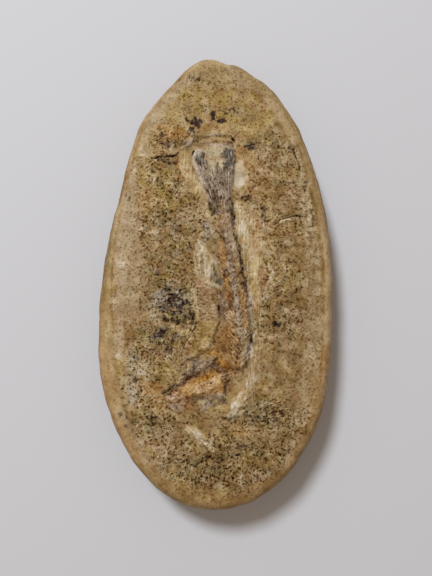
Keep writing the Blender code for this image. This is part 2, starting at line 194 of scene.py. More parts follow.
# the film of mineral, bone and skin on the face, laid in this order: tint, raggedness, marks
film = [
    ("chalk", 0.3, [
        line(0.65, 2, (-17.4, 25, 0.5), (-15, 30, 1.4), (-11.6, 36.6, 1.8), (-7, 41.5, 1.6), (-3, 44, 1.4)),
        spot(0.45, 2, -14.6, -20, 1.6, 1.6), spot(0.4, 1.5, -10, -32.4, 1.4, 1),
    ]),
    ("ash", 0.3, [
        line(0.6, 1.2, (-16.3, -16.5, 0.4), (-16.8, -21, 0.7), (-16.6, -26, 0.5)),
        line(0.3, 2, (3, 44, 1), (8.4, 40.4, 1.4), (12, 37, 1.2), (14.8, 32, 0.8)),
    ]),
    ("buff", 0.3, [spot(0.55, 2.5, 0, 42, 8, 3)]),
    ("straw", 0.4, [
        line(0.5, 1.6, (7, 41, 0.6), (11.6, 37, 1), (14.8, 31.6, 0.6), (16.4, 27, 0.4)),
        line(0.3, 1.2, (16.8, 24, 0.4), (19, 12, 0.8), (19.8, 0, 0.8)),
    ]),
    ("straw", 0.35, [
        spot(0.55, 1.6, -13.8, 15.6, 1.4, 2.2), spot(0.5, 0.6, 12.3, -34.5, 0.6, 0.4),
        *spots(0.5, 1.2, (10.2, 12.4, 1.2, 1.4), (10.4, -2.6, 1.2, 2)), spot(0.45, 1.2, 10.6, 4.2, 1, 1.6),
        spot(0.45, 1.5, -10.2, -27, 1.6, 1.8),
        *spots(0.4, 1.2, (22, 0, 0.6, 4), (13.6, -28.8, 1, 1), (-6.4, 33.5, 1.6, 1.6),
            (4.5, 35.5, 2.4, 1.4)),
        *spots(0.4, 1.5, (-14, 28, 1.6, 1.6), (7.6, -32.4, 3, 1.6)), spot(0.35, 1.5, -13, 5, 1.6, 1.4),
        spot(0.3, 1.5, -2, 43.6, 2.4, 1),
    ]),
    ("buff", 0.3, [
        line(0.45, 3, (-1, 25, 5), (0, 16, 5), (1.5, 6, 6), (2.5, -4, 6.5), (3, -14, 5.5), (2, -24, 5)),
        spot(0.35, 2, -7, -24, 3, 4), spot(0.3, 2, -7.5, -33, 3, 2.5),
    ]),
    ("rose", 0.35, [
        line(0.95, 1.3, (-17, 22, 0.2), (-18.3, 14, 0.8), (-19, 6, 1), (-19.4, -2, 0.8)),
        spot(0.7, 1, -19.4, -7, 0.7, 2.4), spot(0.6, 1, -19, -14.5, 0.6, 2.6),
        spot(0.5, 1.2, -16.5, 7, 1, 3), spot(0.4, 1.2, -17, -4, 0.8, 2.5),
    ]),
    ("buff", 0.35, [
        line(0.6, 1.1, (16.6, 28, 0.3), (18.2, 20, 0.5), (19.4, 9, 0.8), (20, -4, 0.9), (19.6, -14, 0.9),
            (18.2, -23, 0.9), (16.2, -30, 0.6)),
    ]),
    # painted light: the smooth edge made paler on the sides turned from the window, right and lower left
    ("rimPaintedLight", 0.3, [
        line(0.95, 1, (23.6, 0, 0.9), (23.2, -12, 1), (21.8, -22, 1), (19.4, -29, 0.6)),
        line(0.75, 1.2, (-22.6, -16, 0.8), (-21.6, -24, 1.3), (-19.2, -31, 1.3), (-15.6, -37, 1)),
        line(0.7, 1, (20.6, 24, 0.5), (22.4, 14, 0.8), (23.4, 2, 0.9)),
    ]),
    # painted shade: the smooth edge made darker on the left, the side facing the window
    ("rimPaintedShade", 0.35, [line(0.65, 0.8, (-19.6, 21, 0.4), (-20.8, 15, 0.6), (-22.3, 5, 0.7), (-23, -3, 0.5))]),
    ("orange", 0.4, [
        line(0.6, 0.6, (5, 25.6, 0.3), (4.7, 23.8, 0.4)),
        line(0.5, 0.4, (-3.6, 8.8, 0.2), (-3.8, 6.6, 0.25)), spot(0.85, 1, -8.6, 28.7, 1.9, 0.8, 10),
        spot(0.65, 1, -13.4, -23.6, 1.8, 1), *spots(0.5, 0.8, (-11.2, 29.8, 1, 0.8), (-2.5, 30, 2.2, 0.7)),
        spot(0.45, 0.5, -6.2, 27.9, 0.9, 0.4), spot(0.4, 0.5, -0.8, 35.2, 0.8, 0.5),
        *spots(0.4, 0.8, (0.6, 29.7, 2, 0.6), (7, 23, 1.2, 1.8)),
        *spots(0.4, 1, (-11, -26.5, 1.6, 1.6), (-5.4, -27.2, 1.2, 0.7), (4.6, -31.6, 1.6, 1.2)),
        spot(0.35, 0.8, -15, 14, 1.5, 2), spot(0.35, 1, 13, 9, 2, 1.5), spot(0.35, 1.2, 9, 18.5, 2.6, 3.2),
    ]),
    ("rust", 0.4, [
        spot(0.7, 0.6, 9.5, -1.2, 0.7, 1.3),
        *spots(0.6, 0.3, (6.1, 22.4, 0.35, 0.35), (7.4, 20.6, 0.3, 0.3), (5.7, 15.2, 0.35, 0.3),
            (5.9, 14.4, 0.3, 0.3), (7.1, 14.4, 0.3, 0.3)),
        spot(0.6, 0.4, 7.2, 16.8, 0.6, 0.5), spot(0.6, 0.5, -8, 22.5, 0.6, 1.4),
        spot(0.5, 0.4, 9.9, 6.3, 0.4, 0.6), spot(0.5, 0.5, -7.7, 19.4, 0.5, 0.8),
        spot(0.5, 0.6, -3.1, -3, 1, 0.7), spot(0.4, 1, -10.6, 27.2, 1.4, 1),
    ]),
    ("dove", 0.6, [
        *lines(0.3, 1, ((-15.6, 28, 0.4), (-12, 35, 0.8), (-7.4, 40.5, 0.6)),
            ((-18.4, -28, 0.5), (-14.4, -36, 0.6), (-8, -41.6, 0.6))),
        line(0.25, 1, (16, -33, 0.5), (11, -40, 0.5), (3, -44, 0.5)),
        line(0.15, 1, (-17, 22, 0.4), (-18, 13, 0.8), (-18.6, 3, 0.8), (-18.4, -8, 0.6)),
        *lines(0.12, 1, ((16.6, 24, 0.4), (18.6, 12, 0.8), (19.2, 0, 0.8), (18.4, -16, 0.6)),
            ((7, 40.6, 0.5), (11.4, 36.4, 0.8), (14.6, 31, 0.5))),
    ]),
    ("orange", 0.6, [
        line(0.35, 1, (-23.4, 0, 0.5), (-23.2, -16, 0.9), (-20.6, -28, 1), (-15, -38, 0.9), (-6, -45, 0.9),
            (4, -45.6, 0.9), (13.6, -39.6, 0.8), (19, -30, 0.8), (22, -16, 0.6)),
        line(0.25, 1, (-21.6, 10, 0.4), (-18.6, 22, 0.5), (-14, 33, 0.6), (-7, 42, 0.8)),
    ]),
    # mottles of the ground round the charcoal patch
    ("dove", 0.45, [
        spot(0.75, 0.8, -11.3, -5.6, 1.1, 1), spot(0.7, 0.4, -8.9, -7.4, 0.5, 0.35),
        spot(0.6, 0.4, -7.6, -13.5, 0.7, 0.5),
        *spots(0.6, 0.8, (-11.9, -7.2, 0.9, 0.7), (-12.4, -9.6, 1, 0.8)),
        spot(0.55, 0.6, -9.6, -2.9, 0.9, 0.5), spot(0.5, 0.4, -6.2, -11.5, 0.6, 0.4),
        *spots(0.5, 0.5, (-7.2, -5.6, 0.6, 0.6), (-8.4, 9.2, 1, 0.7), (-8, 3.6, 0.7, 0.7)),
        *spots(0.5, 0.6, (-7.1, -8.7, 0.8, 0.5), (-10.4, -11.2, 0.8, 0.5)),
    ]),
    ("slate", 0.5, [
        spot(0.8, 0.5, -11.4, -13.2, 0.9, 0.6), spot(0.75, 0.4, -10.9, -7.9, 0.6, 0.5),
        *spots(0.7, 0.4, (-5.2, -9.4, 0.5, 0.5), (-11.8, -0.6, 0.4, 0.6)),
        *spots(0.6, 0.4, (-12.9, -13.6, 0.5, 0.4), (-5.4, 4.4, 0.5, 0.4), (7.4, -29.8, 0.5, 0.9)),
        *spots(0.5, 0.4, (-9.9, 26.4, 0.8, 0.5), (9.8, 11.8, 0.4, 1.4)),
    ]),
    ("butter", 0.35, [
        line(0.9, 0.7, (-7, 25, 0.3), (-6.6, 24, 0.7), (-6.5, 22, 0.8), (-6.1, 20.7, 0.8),
            (-5.4, 19.4, 0.6), (-4.7, 17.9, 0.5), (-4.5, 16.5, 0.3)),
        line(0.75, 0.6, (8.5, 1.8, 0.4), (7.7, 0.2, 0.6), (7.7, -0.8, 0.5), (8, -1.8, 0.4),
            (7.6, -3.4, 0.6), (7.9, -4.6, 0.4)),
        line(0.6, 0.3, (-6.6, 17.9, 0.15), (-6.2, 16.8, 0.15)), spot(0.6, 0.4, -9.7, -20.8, 0.6, 0.35),
        spot(0.6, 0.5, -8.1, -11.8, 0.8, 0.6), spot(0.5, 0.5, 1.2, -27.5, 1.2, 0.5),
    ]),
    ("peach", 0.35, [
        *lines(0.6, 0.5, ((8.6, 7.4, 0.3), (8.4, 5.5, 0.4), (8.3, 4.2, 0.4)),
            ((8.5, -5, 0.4), (8.3, -6.6, 0.5), (8.1, -8.4, 0.3))),
        line(0.55, 0.9, (9, 10, 0.4), (8.6, 7, 0.6), (8.4, 4, 0.5)), spot(0.7, 0.5, -5.6, 20.7, 0.6, 0.6),
        spot(0.6, 0.5, 5.5, 6.1, 0.5, 0.5), spot(0.5, 0.4, 8.2, -15.2, 0.4, 0.8),
        spot(0.5, 0.5, -11.5, -10.8, 0.9, 0.5), spot(0.5, 0.6, 7.9, 10.6, 0.6, 0.8),
        spot(0.4, 0.5, -5.6, 18.5, 0.4, 0.3),
    ]),
    ("cream", 0.35, [
        patch(0.8, 0.9, (-4, 6.6), (-4.5, 3), (-4.3, 0.5), (-3.8, -1.5), (-2.3, -2.2), (-1.1, -2.7),
            (-0.7, 0), (-0.4, 1.5), (-0.9, 3.2), (-1.8, 4.2), (-2.6, 6)),
        # painted highlight: the pale lip below the crack on the right of the face
        line(0.85, 0.15, (12.2, 9.2, 0.06), (13.2, 9.85, 0.12), (14.8, 10.3, 0.12), (16.4, 10.5, 0.06)),
        line(0.85, 0.45, (-4, 18.4, 0.15), (-3.5, 17.4, 0.3), (-2.75, 16.2, 0.35), (-2, 15.1, 0.3)),
        line(0.85, 0.7, (4.5, 13.8, 0.2), (5.1, 11.9, 0.6), (4.8, 10.4, 0.6), (5.4, 8.9, 0.9),
            (5.5, 7.4, 0.7)),
        line(0.8, 0.5, (5, 22.4, 0.5), (4.6, 21.4, 0.5), (5.9, 20.6, 0.4)),
        line(0.75, 0.3, (-1.9, -34.3, 0.2), (-1.3, -34.8, 0.3), (-0.4, -35.7, 0.15)),
        line(0.7, 0.5, (6.3, 19.4, 0.2), (6.1, 18, 0.3)),
        line(0.7, 0.8, (5.4, -24.6, 0.4), (4.8, -26.2, 0.9), (4, -28, 0.9), (3, -29, 0.4)),
        line(0.7, 1.1, (-5.4, -31.4, 0.1), (-4.2, -32.1, 0.4), (-3.2, -33.1, 0.6), (-2.6, -33.9, 0.3)),
        line(0.65, 0.5, (-4.6, -4.3, 0.4), (-4.3, -6, 0.5), (-3.9, -8, 0.5), (-3.5, -9.3, 0.3)),
        line(0.6, 0.3, (-5.8, -34.5, 0.15), (-4.8, -35.2, 0.2)),
        line(0.55, 0.4, (10.8, 1, 0.25), (11.4, -1.5, 0.35), (11.2, -3.5, 0.35), (10.4, -5.4, 0.2)),
        line(0.5, 0.6, (5.9, 6, 0.4), (6.8, 4.4, 0.5), (7.3, 3, 0.5)),
        line(0.28, 1, (7.5, -18.4, 0.3), (7.4, -20.5, 0.8), (7.1, -22.6, 0.8), (6.7, -25, 0.4)),
        spot(0.75, 0.8, 6.9, 9.2, 0.8, 0.9), spot(0.7, 0.5, -2.7, 13.6, 0.8, 0.8),
        spot(0.6, 0.5, -1.7, 11.9, 0.4, 0.5), spot(0.5, 0.8, -3.9, -31.8, 0.8, 0.4, -30),
        spot(0.4, 0.8, -12.4, -9, 1.2, 0.9), spot(0.4, 1, -14.8, -19.8, 1.2, 0.9),
    ]),
    ("cream", 0.45, [
        line(0.7, 0.3, (8.3, 8, 0.08), (8.2, 4, 0.14), (8.3, -1, 0.14), (8.5, -6.6, 0.12)),
        line(0.55, 0.25, (-4.2, 5.6, 0.08), (-4.3, 2, 0.12), (-4, -1.4, 0.08)),
        *lines(0.5, 0.25, ((7.3, 6.5, 0.1), (7, 2, 0.15)),
            ((6.2, 11, 0.1), (6.6, 7, 0.15), (6.4, 3.6, 0.1))),
        line(0.5, 0.3, (9.6, 10.4, 0.1), (9.2, 6, 0.12)),
    ]),
    ("cream", 0.3, [
        line(0.5, 0.12, (11.6, 35.8, 0.04), (13.4, 32.8, 0.06)),
        *lines(0.45, 0.12, ((12.4, 36, 0.04), (14.2, 33.2, 0.05)),
            ((13.2, 35.6, 0.04), (12.2, 33.4, 0.05))),
        line(0.4, 0.12, (14, 34.4, 0.03), (13.2, 31.6, 0.05)),
    ]),
    ("cream", 0.5, [
        line(0.45, 0.6, (-6.7, 24.4, 0.1), (-6.4, 22, 0.4), (-5.9, 20.4, 0.4), (-5, 18.6, 0.2)),
        spot(0.4, 0.5, 3.8, -27.4, 0.6, 0.7), spot(0.35, 0.8, 8.6, 5.6, 0.5, 1.8),
    ]),
    ("sage", 0.35, [
        line(0.75, 0.3, (-5.3, -4.6, 0.25), (-5.4, -6.2, 0.25)),
        line(0.75, 0.4, (7.3, -9.5, 0.35), (7.5, -11.2, 0.4)),
        line(0.6, 0.4, (7.7, -12.6, 0.25), (7.8, -14, 0.25)), spot(0.6, 0.3, -1.4, -24.2, 0.4, 0.35),
        *spots(0.6, 0.4, (3.1, -29, 0.7, 0.35), (4.5, -26.6, 0.5, 0.6)), spot(0.6, 0.5, 5.6, 7.6, 0.8, 0.7),
        spot(0.5, 0.4, 9.8, 4.5, 0.4, 0.8), spot(0.5, 0.5, -3, 2.6, 0.6, 0.7),
    ]),
    ("white", 0.5, [
        line(0.55, 0.2, (9.4, -5.8, 0.06), (10.3, -3, 0.12), (11.6, -0.6, 0.1), (12, 0.6, 0.05)),
        line(0.5, 0.2, (9.6, -6, 0.06), (11, -3.6, 0.1), (13, -2, 0.08)),
        line(0.45, 0.2, (9.7, -6.4, 0.06), (11.6, -4.8, 0.08), (13.6, -4, 0.05)),
        line(0.3, 0.25, (-17.8, 16.8, 0.04), (-18.5, 13.2, 0.08), (-19.2, 10.8, 0.06), (-19.8, 7.6, 0.08),
            (-20, 4.4, 0.04)),
        spot(0.6, 0.5, -14.8, -20.4, 0.6, 0.4), spot(0.5, 0.4, -19.6, -17.3, 0.5, 0.3),
        spot(0.25, 0.4, -19.2, 1.2, 0.4, 0.5),
    ]),
    ("white", 0.35, [
        line(0.7, 0.2, (-1.9, -2.2, 0.12), (-0.8, -2.7, 0.15), (0.4, -3.3, 0.12)),
        line(0.6, 0.2, (6.8, -4.8, 0.1), (7.1, -5.6, 0.2), (7.2, -6.2, 0.1)),
        line(0.6, 0.5, (-4.6, -32.2, 0.1), (-3.4, -32.9, 0.3), (-2.8, -33.5, 0.15)),
        spot(0.85, 0.4, 3.45, -27.2, 0.45, 0.6), spot(0.8, 0.4, 3.8, -28.2, 0.5, 0.5),
        spot(0.75, 0.4, -3.2, -33.2, 0.5, 0.35, -40), spot(0.75, 1.2, 4.7, 18.9, 0.6, 1, 8),
        spot(0.7, 0.3, 4.8, -24.9, 0.3, 0.4), spot(0.7, 0.4, -1.35, -0.7, 0.45, 0.7),
        spot(0.6, 0.6, -1.95, 0.5, 0.5, 0.9),
        *spots(0.5, 0.3, (-1.4, -34.7, 0.3, 0.2), (-2, 26.9, 0.3, 0.15, 20)),
        spot(0.5, 0.5, -3.1, 5, 0.4, 0.8), spot(0.4, 0.5, 5.4, 9, 0.5, 0.8),
        spot(0.35, 1.2, 4.9, 21.2, 0.5, 0.8), spot(0.25, 0.4, 7.4, -21.5, 0.4, 1),
    ]),
    # scales and flesh along the body
    ("flesh", 0.3, [
        patch(0.9, 0.7, (-0.6, 12.4), (-0.1, 9.6), (0, 7), (-0.5, 5.2), (-0.4, 3.4), (0.5, 1.4), (0.8, -2),
            (1.3, -4), (1, -8), (1.4, -10), (0.6, -12.6), (-0.4, -14.6), (-0.4, -16.4), (0.8, -18),
            (2.4, -19.4), (3.6, -20.6), (5.2, -21), (6.2, -19), (6.7, -16.5), (7.1, -13), (7, -9.5),
            (6.8, -6), (6.2, -3), (5.8, -0.6), (5.3, 1.6), (4.9, 4), (4.3, 6.4), (3.8, 8), (3.7, 10),
            (3.4, 12.4)),
    ]),
    ("buff", 0.35, [
        line(0.75, 0.35, (3.1, 9, 0.2), (3.2, 7, 0.3), (3.6, 5.3, 0.4), (4.1, 2.7, 0.4), (4.4, 0.6, 0.3)),
        line(0.6, 0.4, (5.2, -13, 0.3), (5.6, -14.6, 0.5), (5.4, -17, 0.4)),
        spot(0.7, 0.5, 5.3, -10, 0.4, 0.8), spot(0.5, 0.5, 2.6, -10.8, 0.5, 0.7),
    ]),
    ("orange", 0.4, [
        line(0.8, 0.35, (1, 5.9, 0.25), (1.15, 4.6, 0.4), (1.2, 3.6, 0.4), (1.6, 2.4, 0.35),
            (1.7, 1.1, 0.3)),
        line(0.7, 0.4, (5.4, -5.2, 0.4), (5.5, -6.6, 0.5)),
        *lines(0.6, 0.4, ((2.6, -12.4, 0.4), (2.9, -13.6, 0.5)), ((5.9, -10.3, 0.35), (6.1, -11.4, 0.3))),
        spot(0.85, 0.4, 2.2, -2.4, 0.6, 0.8), spot(0.6, 0.4, -1.3, -11.2, 0.6, 0.5),
        spot(0.5, 0.5, 3.8, -24.2, 0.4, 0.6),
    ]),
    ("peach", 0.35, [
        spot(0.7, 0.25, 2.7, -11.8, 0.25, 0.25), spot(0.7, 0.4, 2.9, -9, 0.6, 0.6),
        spot(0.6, 0.4, 3.8, -14, 0.5, 0.6),
    ]),
    ("rust", 0.4, [
        line(0.8, 0.3, (2.6, 6.3, 0.2), (2.4, 5, 0.25), (2.75, 4.1, 0.2)),
        line(0.8, 0.4, (2.2, -4.4, 0.35), (2.6, -5.4, 0.4), (3, -6.6, 0.5)),
        line(0.7, 0.3, (1.5, -12.6, 0.25), (2.2, -13, 0.3)),
        line(0.6, 0.4, (5.6, -8.4, 0.4), (6, -9.6, 0.4)), line(0.5, 0.4, (3.6, -17, 0.3), (4.4, -19, 0.4)),
        spot(0.5, 0.4, 0.9, -14.8, 0.3, 0.4),
    ]),
    ("umber", 0.45, [
        line(0.7, 0.25, (0.05, 8, 0.15), (0.9, 7, 0.18), (1.7, 6.2, 0.15)),
        line(0.7, 0.35, (3.1, -6.8, 0.3), (3.2, -7.8, 0.25)),
        *lines(0.6, 0.2, ((0.5, 3.2, 0.1), (0.8, 2.4, 0.18), (1, 1.6, 0.1)),
            ((-0.3, 6, 0.12), (0.3, 4.8, 0.15))),
        line(0.6, 0.3, (1.25, 8.4, 0.2), (1.6, 7.9, 0.15)),
        *spots(0.7, 0.3, (3.6, -2.65, 0.35, 0.4), (3.5, -5.9, 0.35, 0.4)),
        spot(0.7, 0.4, 1.6, -15.7, 0.35, 0.6), spot(0.6, 0.25, -0.65, 3.7, 0.2, 0.25),
        *spots(0.6, 0.3, (4.9, -2.65, 0.3, 0.35), (3, 0.5, 0.3, 0.25), (2.1, -16.5, 0.4, 0.3)),
        *spots(0.5, 0.25, (-1.7, 2.9, 0.2, 0.25), (4.4, -15.2, 0.2, 0.3), (4.9, -16.4, 0.25, 0.2),
            (4.2, -17.4, 0.3, 0.2)),
    ]),
    # beads of the backbone and bony streaks
    ("lilac", 0.35, [
        line(0.7, 0.25, (4.5, -7.7, 0.15), (4.4, -9.2, 0.18), (4.5, -10.6, 0.2), (4.6, -12.6, 0.2)),
        line(0.7, 0.4, (6.5, -14.8, 0.3), (6.6, -17.2, 0.4)),
        line(0.5, 0.3, (6.9, -4.6, 0.15), (7, -7.6, 0.2)), spot(0.9, 0.25, 2.05, 8.65, 0.3, 0.35),
        spot(0.85, 0.25, 2.75, 1.3, 0.4, 0.35), spot(0.85, 0.3, 3.75, -3.9, 0.25, 0.6),
        spot(0.8, 0.25, 1.9, 7.5, 0.35, 0.4),
        *spots(0.75, 0.25, (1.4, 9.6, 0.3, 0.35), (2.65, 2.5, 0.3, 0.4), (3.45, -1.25, 0.35, 0.4)),
        spot(0.7, 0.3, 4.3, -6.3, 0.35, 0.5), spot(0.7, 0.4, 1.75, -7, 0.4, 0.5),
        spot(0.6, 0.25, 3.2, 0, 0.3, 0.25), *spots(0.6, 0.3, (5.2, -14, 0.3, 0.4), (1.2, -3, 0.3, 0.3)),
        spot(0.6, 0.4, 6.15, -23, 0.4, 0.35),
    ]),
    ("lilac", 0.6, [
        line(0.6, 0.4, (1.9, 8.6, 0.1), (2.5, 4.6, 0.2), (2.8, 1, 0.25), (3.3, -2, 0.2), (3.9, -5, 0.2),
            (4.4, -8, 0.2), (4.6, -12.6, 0.25)),
        line(0.45, 0.5, (6, -2.4, 0.1), (6.8, -6.4, 0.2), (6.9, -10.6, 0.2)),
        line(0.35, 0.6, (2.9, 10.6, 0.3), (3.2, 6, 0.3), (4.2, 2.4, 0.3)),
    ]),
    ("plum", 0.4, [
        line(0.7, 0.4, (0.95, -4.6, 0.3), (1.1, -6, 0.35), (1.3, -7.6, 0.3), (1.3, -9.2, 0.35)),
        spot(0.7, 0.4, 3.5, 9.9, 0.25, 0.6),
        *spots(0.6, 0.2, (2.75, 1.9, 0.25, 0.2), (2.9, 0.6, 0.3, 0.2), (3.3, -0.6, 0.25, 0.2)),
        *spots(0.6, 0.25, (2.3, 5.9, 0.25, 0.5), (2.5, 3.6, 0.2, 0.4), (3.5, -2.6, 0.25, 0.4)),
        *spots(0.5, 0.25, (1.7, 8, 0.3, 0.2), (4, -5, 0.2, 0.3), (4.4, -7.1, 0.25, 0.2),
            (4.95, -15.4, 0.2, 0.2)),
        spot(0.5, 0.5, -2.05, 9.2, 0.8, 0.9),
    ]),
    ("dove", 0.4, [
        spot(0.65, 0.5, -1.3, 7.7, 0.7, 0.8),
        *spots(0.6, 0.3, (6.05, 0.3, 0.35, 0.35), (3.75, 7.1, 0.3, 0.5)),
        *spots(0.6, 0.4, (-0.3, 1.6, 0.35, 0.6), (7.6, -14.8, 0.4, 0.6)),
        *spots(0.5, 0.3, (-3, -1, 0.35, 0.35), (10.6, 3.3, 0.4, 0.5)),
        *spots(0.5, 0.4, (6, -12.5, 0.4, 0.6), (4.2, 10.2, 0.3, 0.6)), spot(0.5, 0.5, -2.3, 6.4, 0.7, 0.6),
    ]),
    ("teal", 0.4, [
        line(0.75, 0.2, (-0.8, -3.1, 0.1), (0.3, -3.9, 0.12)),
        line(0.7, 0.2, (-0.5, 1.4, 0.06), (-0.4, 0.2, 0.12), (-0.1, -1.2, 0.12)),
        line(0.4, 0.2, (-1, 0.8, 0.06), (-0.8, -1.4, 0.1)),
        line(0.35, 0.2, (-2.6, 4.4, 0.06), (-2.7, 1.6, 0.1), (-2.5, -0.8, 0.08)),
        spot(0.9, 0.3, 0.05, -1.6, 0.35, 0.9, 8), spot(0.85, 0.3, 0.75, -2.4, 0.35, 0.5),
        spot(0.6, 0.3, 6.5, -15.7, 0.3, 0.4),
    ]),
    ("dove", 0.3, [spot(0.8, 0.2, -0.05, -1.95, 0.15, 0.3), spot(0.5, 0.5, -1.8, 9.4, 0.5, 0.8)]),
    # filled gut beside the body
    ("clay", 0.25, [
        patch(0.85, 0.6, (-4.4, -2), (-2, -2.6), (0.6, -3.8), (0.9, -6), (0.6, -8), (0.9, -10),
            (0.1, -12.6), (-0.8, -14.8), (-1.4, -16.4), (-3.4, -17.6), (-5, -18.6), (-7, -19.8),
            (-6.7, -16.6), (-6, -14.2), (-4.7, -12.6), (-3.9, -10.8), (-3.6, -9.6), (-3.5, -7),
            (-3.8, -4.6)),
        line(0.5, 0.6, (1.4, 13.2, 0.9), (1.4, 11, 0.8), (1.6, 9.2, 0.6)),
    ]),
    ("buff", 0.4, [spot(0.6, 0.8, -3.1, -7, 0.7, 1.4), spot(0.4, 0.6, -1.6, -8.2, 0.8, 0.8)]),
    ("ochre", 0.3, [
        patch(0.85, 1.2, (-3.9, -10.6), (0.3, -10.4), (0.3, -12.2), (-0.9, -14.6), (-1.4, -16.4),
            (-3.4, -17.4), (-5.2, -17), (-5.4, -14), (-4.4, -12.4)),
        line(0.5, 0.5, (-1.6, -17, 0.3), (-0.5, -17, 0.3)),
    ]),
    ("cream", 0.4, [
        line(0.75, 0.35, (-4.5, -4, 0.1), (-4.3, -6, 0.2), (-3.9, -8, 0.2), (-3.6, -9.6, 0.1)),
    ]),
    ("butter", 0.35, [
        line(0.5, 0.4, (0.2, -10.6, 0.15), (-0.3, -12.2, 0.2), (-1.1, -13.8, 0.2)),
        spot(0.5, 0.6, -2.3, -15, 0.7, 0.6), spot(0.4, 0.5, -4.3, -17, 0.8, 0.3),
    ]),
    ("rust", 0.35, [
        spot(0.5, 0.4, -5.4, -15.6, 0.3, 1, -20),
        *spots(0.35, 0.5, (-1.6, -4.9, 1.3, 0.5), (-3.2, -3.4, 0.9, 0.5)), spot(0.2, 0.6, -2, -6, 1.2, 0.8),
    ]),
    # the bones of the tail, folded over
    ("lilac", 0.4, [
        patch(0.4, 0.6, (-6.9, -20.8), (-6, -19.9), (-4.8, -18.9), (-3, -18), (-2.2, -18.3), (-2.6, -19.2),
            (-4.4, -20), (-6.4, -21.4)),
        spot(0.5, 0.4, -2, -27, 0.6, 0.4), spot(0.4, 0.3, -2.6, -27.9, 0.5, 0.3),
        spot(0.35, 0.4, -8, -26.2, 0.9, 0.5),
    ]),
    ("rust", 0.35, [
        patch(0.7, 0.6, (-2.6, -18.6), (-1.2, -17.8), (0.2, -18.6), (1.6, -19.8), (2, -21), (0.4, -20.8),
            (-1.6, -20.6), (-3.2, -20.4)),
        line(0.4, 0.4, (-9.4, -25.6, 0.15), (-8.4, -27.2, 0.2)),
        *spots(0.5, 0.5, (-8.2, -24.8, 1, 0.6, 30), (-5.4, -26, 0.7, 0.5), (-5.3, -27.1, 0.7, 0.5),
            (1.5, -21.8, 0.4, 1)),
        spot(0.4, 0.5, 2.8, -22.6, 0.4, 0.8),
    ]),
    ("plum", 0.5, [
        patch(0.35, 0.8, (-7.4, -22.2), (-5.6, -20.4), (-3.2, -18.8), (-0.8, -18), (1.2, -19), (2.4, -20.8),
            (0.6, -20.6), (-2, -20.2), (-4.4, -21)),
    ]),
    ("flesh", 0.5, [
        patch(0.75, 0.7, (-8.6, -23.8), (-6.6, -21.6), (-3.6, -20), (-0.4, -19.6), (0.4, -20.8),
            (-2.6, -21.4), (-5, -22.4), (-7.2, -24)),
    ]),
    ("tan", 0.45, [
        patch(0.95, 1, (-7.2, -23.6), (-5, -22.6), (-3.4, -22.2), (-1, -21.4), (0.4, -20.9), (1.4, -21.8),
            (1.6, -23), (1.4, -24.2), (0, -24.2), (-1.4, -24.6), (-3, -24.9), (-5, -25.2), (-6.6, -24.8)),
    ]),
    ("peach", 0.35, [
        line(0.5, 0.25, (4.2, -22.2, 0.1), (4.8, -24.2, 0.12)), spot(0.8, 0.4, -2.4, -23.7, 0.9, 0.5),
        spot(0.6, 0.3, 0.3, -17.6, 0.3, 0.4),
        *spots(0.6, 0.4, (-3.6, -22.9, 0.8, 0.25, 15), (-0.9, -22.2, 0.7, 0.3, 15),
            (-7.1, -25.6, 0.7, 0.5)),
    ]),
    ("clay", 0.4, [spot(0.7, 0.8, -8.1, -25.9, 1.2, 0.8, 30), spot(0.5, 0.6, -6, -26.2, 0.8, 0.4)]),
    ("amber", 0.4, [
        line(0.85, 0.6, (-4.6, -22.6, 0.05), (-3, -21.8, 0.16), (-1.6, -21.3, 0.18), (-0.2, -20.9, 0.06)),
        line(0.8, 0.2, (-1.2, -16.6, 0.08), (-0.2, -16.9, 0.12), (0.8, -18.1, 0.12), (2.2, -19.6, 0.08)),
        *lines(0.6, 0.2, ((-0.2, -16, 0.06), (0.9, -17.2, 0.1), (2.4, -19, 0.08)),
            ((0.2, -17.9, 0.06), (1.2, -19.4, 0.1))),
        line(0.5, 0.3, (-2.4, -16.7, 0.1), (-1, -16.3, 0.15)),
        line(0.5, 0.4, (-3.4, -22.5, 0.05), (-1.4, -21.9, 0.1)),
        line(0.28, 1, (-4.6, -20.6, 0.4), (-2, -19.4, 0.8), (0.6, -19.4, 0.8), (2.6, -20.4, 0.6)),
        line(0.25, 0.8, (0.2, -13.4, 0.5), (-0.6, -16.4, 0.6)),
        line(0.25, 1, (2.2, -12, 0.8), (1.8, -15.6, 1.2), (2.8, -18.8, 0.9)),
        spot(0.25, 0.4, 3, -4.8, 0.4, 0.9), spot(0.2, 0.4, 1.6, 2.2, 0.3, 1.2),
        spot(0.2, 1, -1.6, -23.6, 2.4, 0.6, 20),
    ]),
    ("umber", 0.45, [
        *lines(0.6, 0.3, ((1.9, -23.4, 0.15), (1.8, -24.8, 0.2)), ((-8.6, -27, 0.2), (-7.6, -27.4, 0.25))),
        line(0.55, 0.2, (1.4, -29.6, 0.1), (3, -29.6, 0.12), (4.6, -29.1, 0.1)),
        line(0.5, 0.4, (-1.6, -25.4, 0.1), (0.4, -25.5, 0.15), (1.9, -26.4, 0.15)),
        line(0.5, 0.5, (-10.4, -10, 0.2), (-8.4, -10.1, 0.25), (-7.4, -10.3, 0.15)),
        line(0.4, 0.3, (-7.2, -22.2, 0.06), (-5.3, -21.3, 0.08), (-3.6, -20.8, 0.08), (-2.4, -20.3, 0.05)),
        line(0.35, 0.3, (-6.6, -20.9, 0.05), (-4.6, -19.9, 0.08), (-2.6, -19, 0.05)),
        spot(0.55, 0.3, 1.2, -22, 0.25, 0.5), spot(0.5, 0.4, 2.3, -21.6, 0.4, 0.9),
        spot(0.4, 0.4, -0.7, -26.8, 0.8, 0.4), spot(0.4, 0.5, -6.4, -9.9, 0.4, 0.5),
        spot(0.4, 0.6, -4.2, -26.2, 0.4, 0.8),
        *spots(0.3, 0.4, (-1.3, -18.7, 0.5, 0.4), (0.6, -19.7, 0.8, 0.4)),
    ]),
    ("slate", 0.45, [
        spot(0.6, 0.4, -7.7, -27.4, 0.3, 0.3), spot(0.6, 0.5, -3.9, -18.4, 0.9, 0.3, 15),
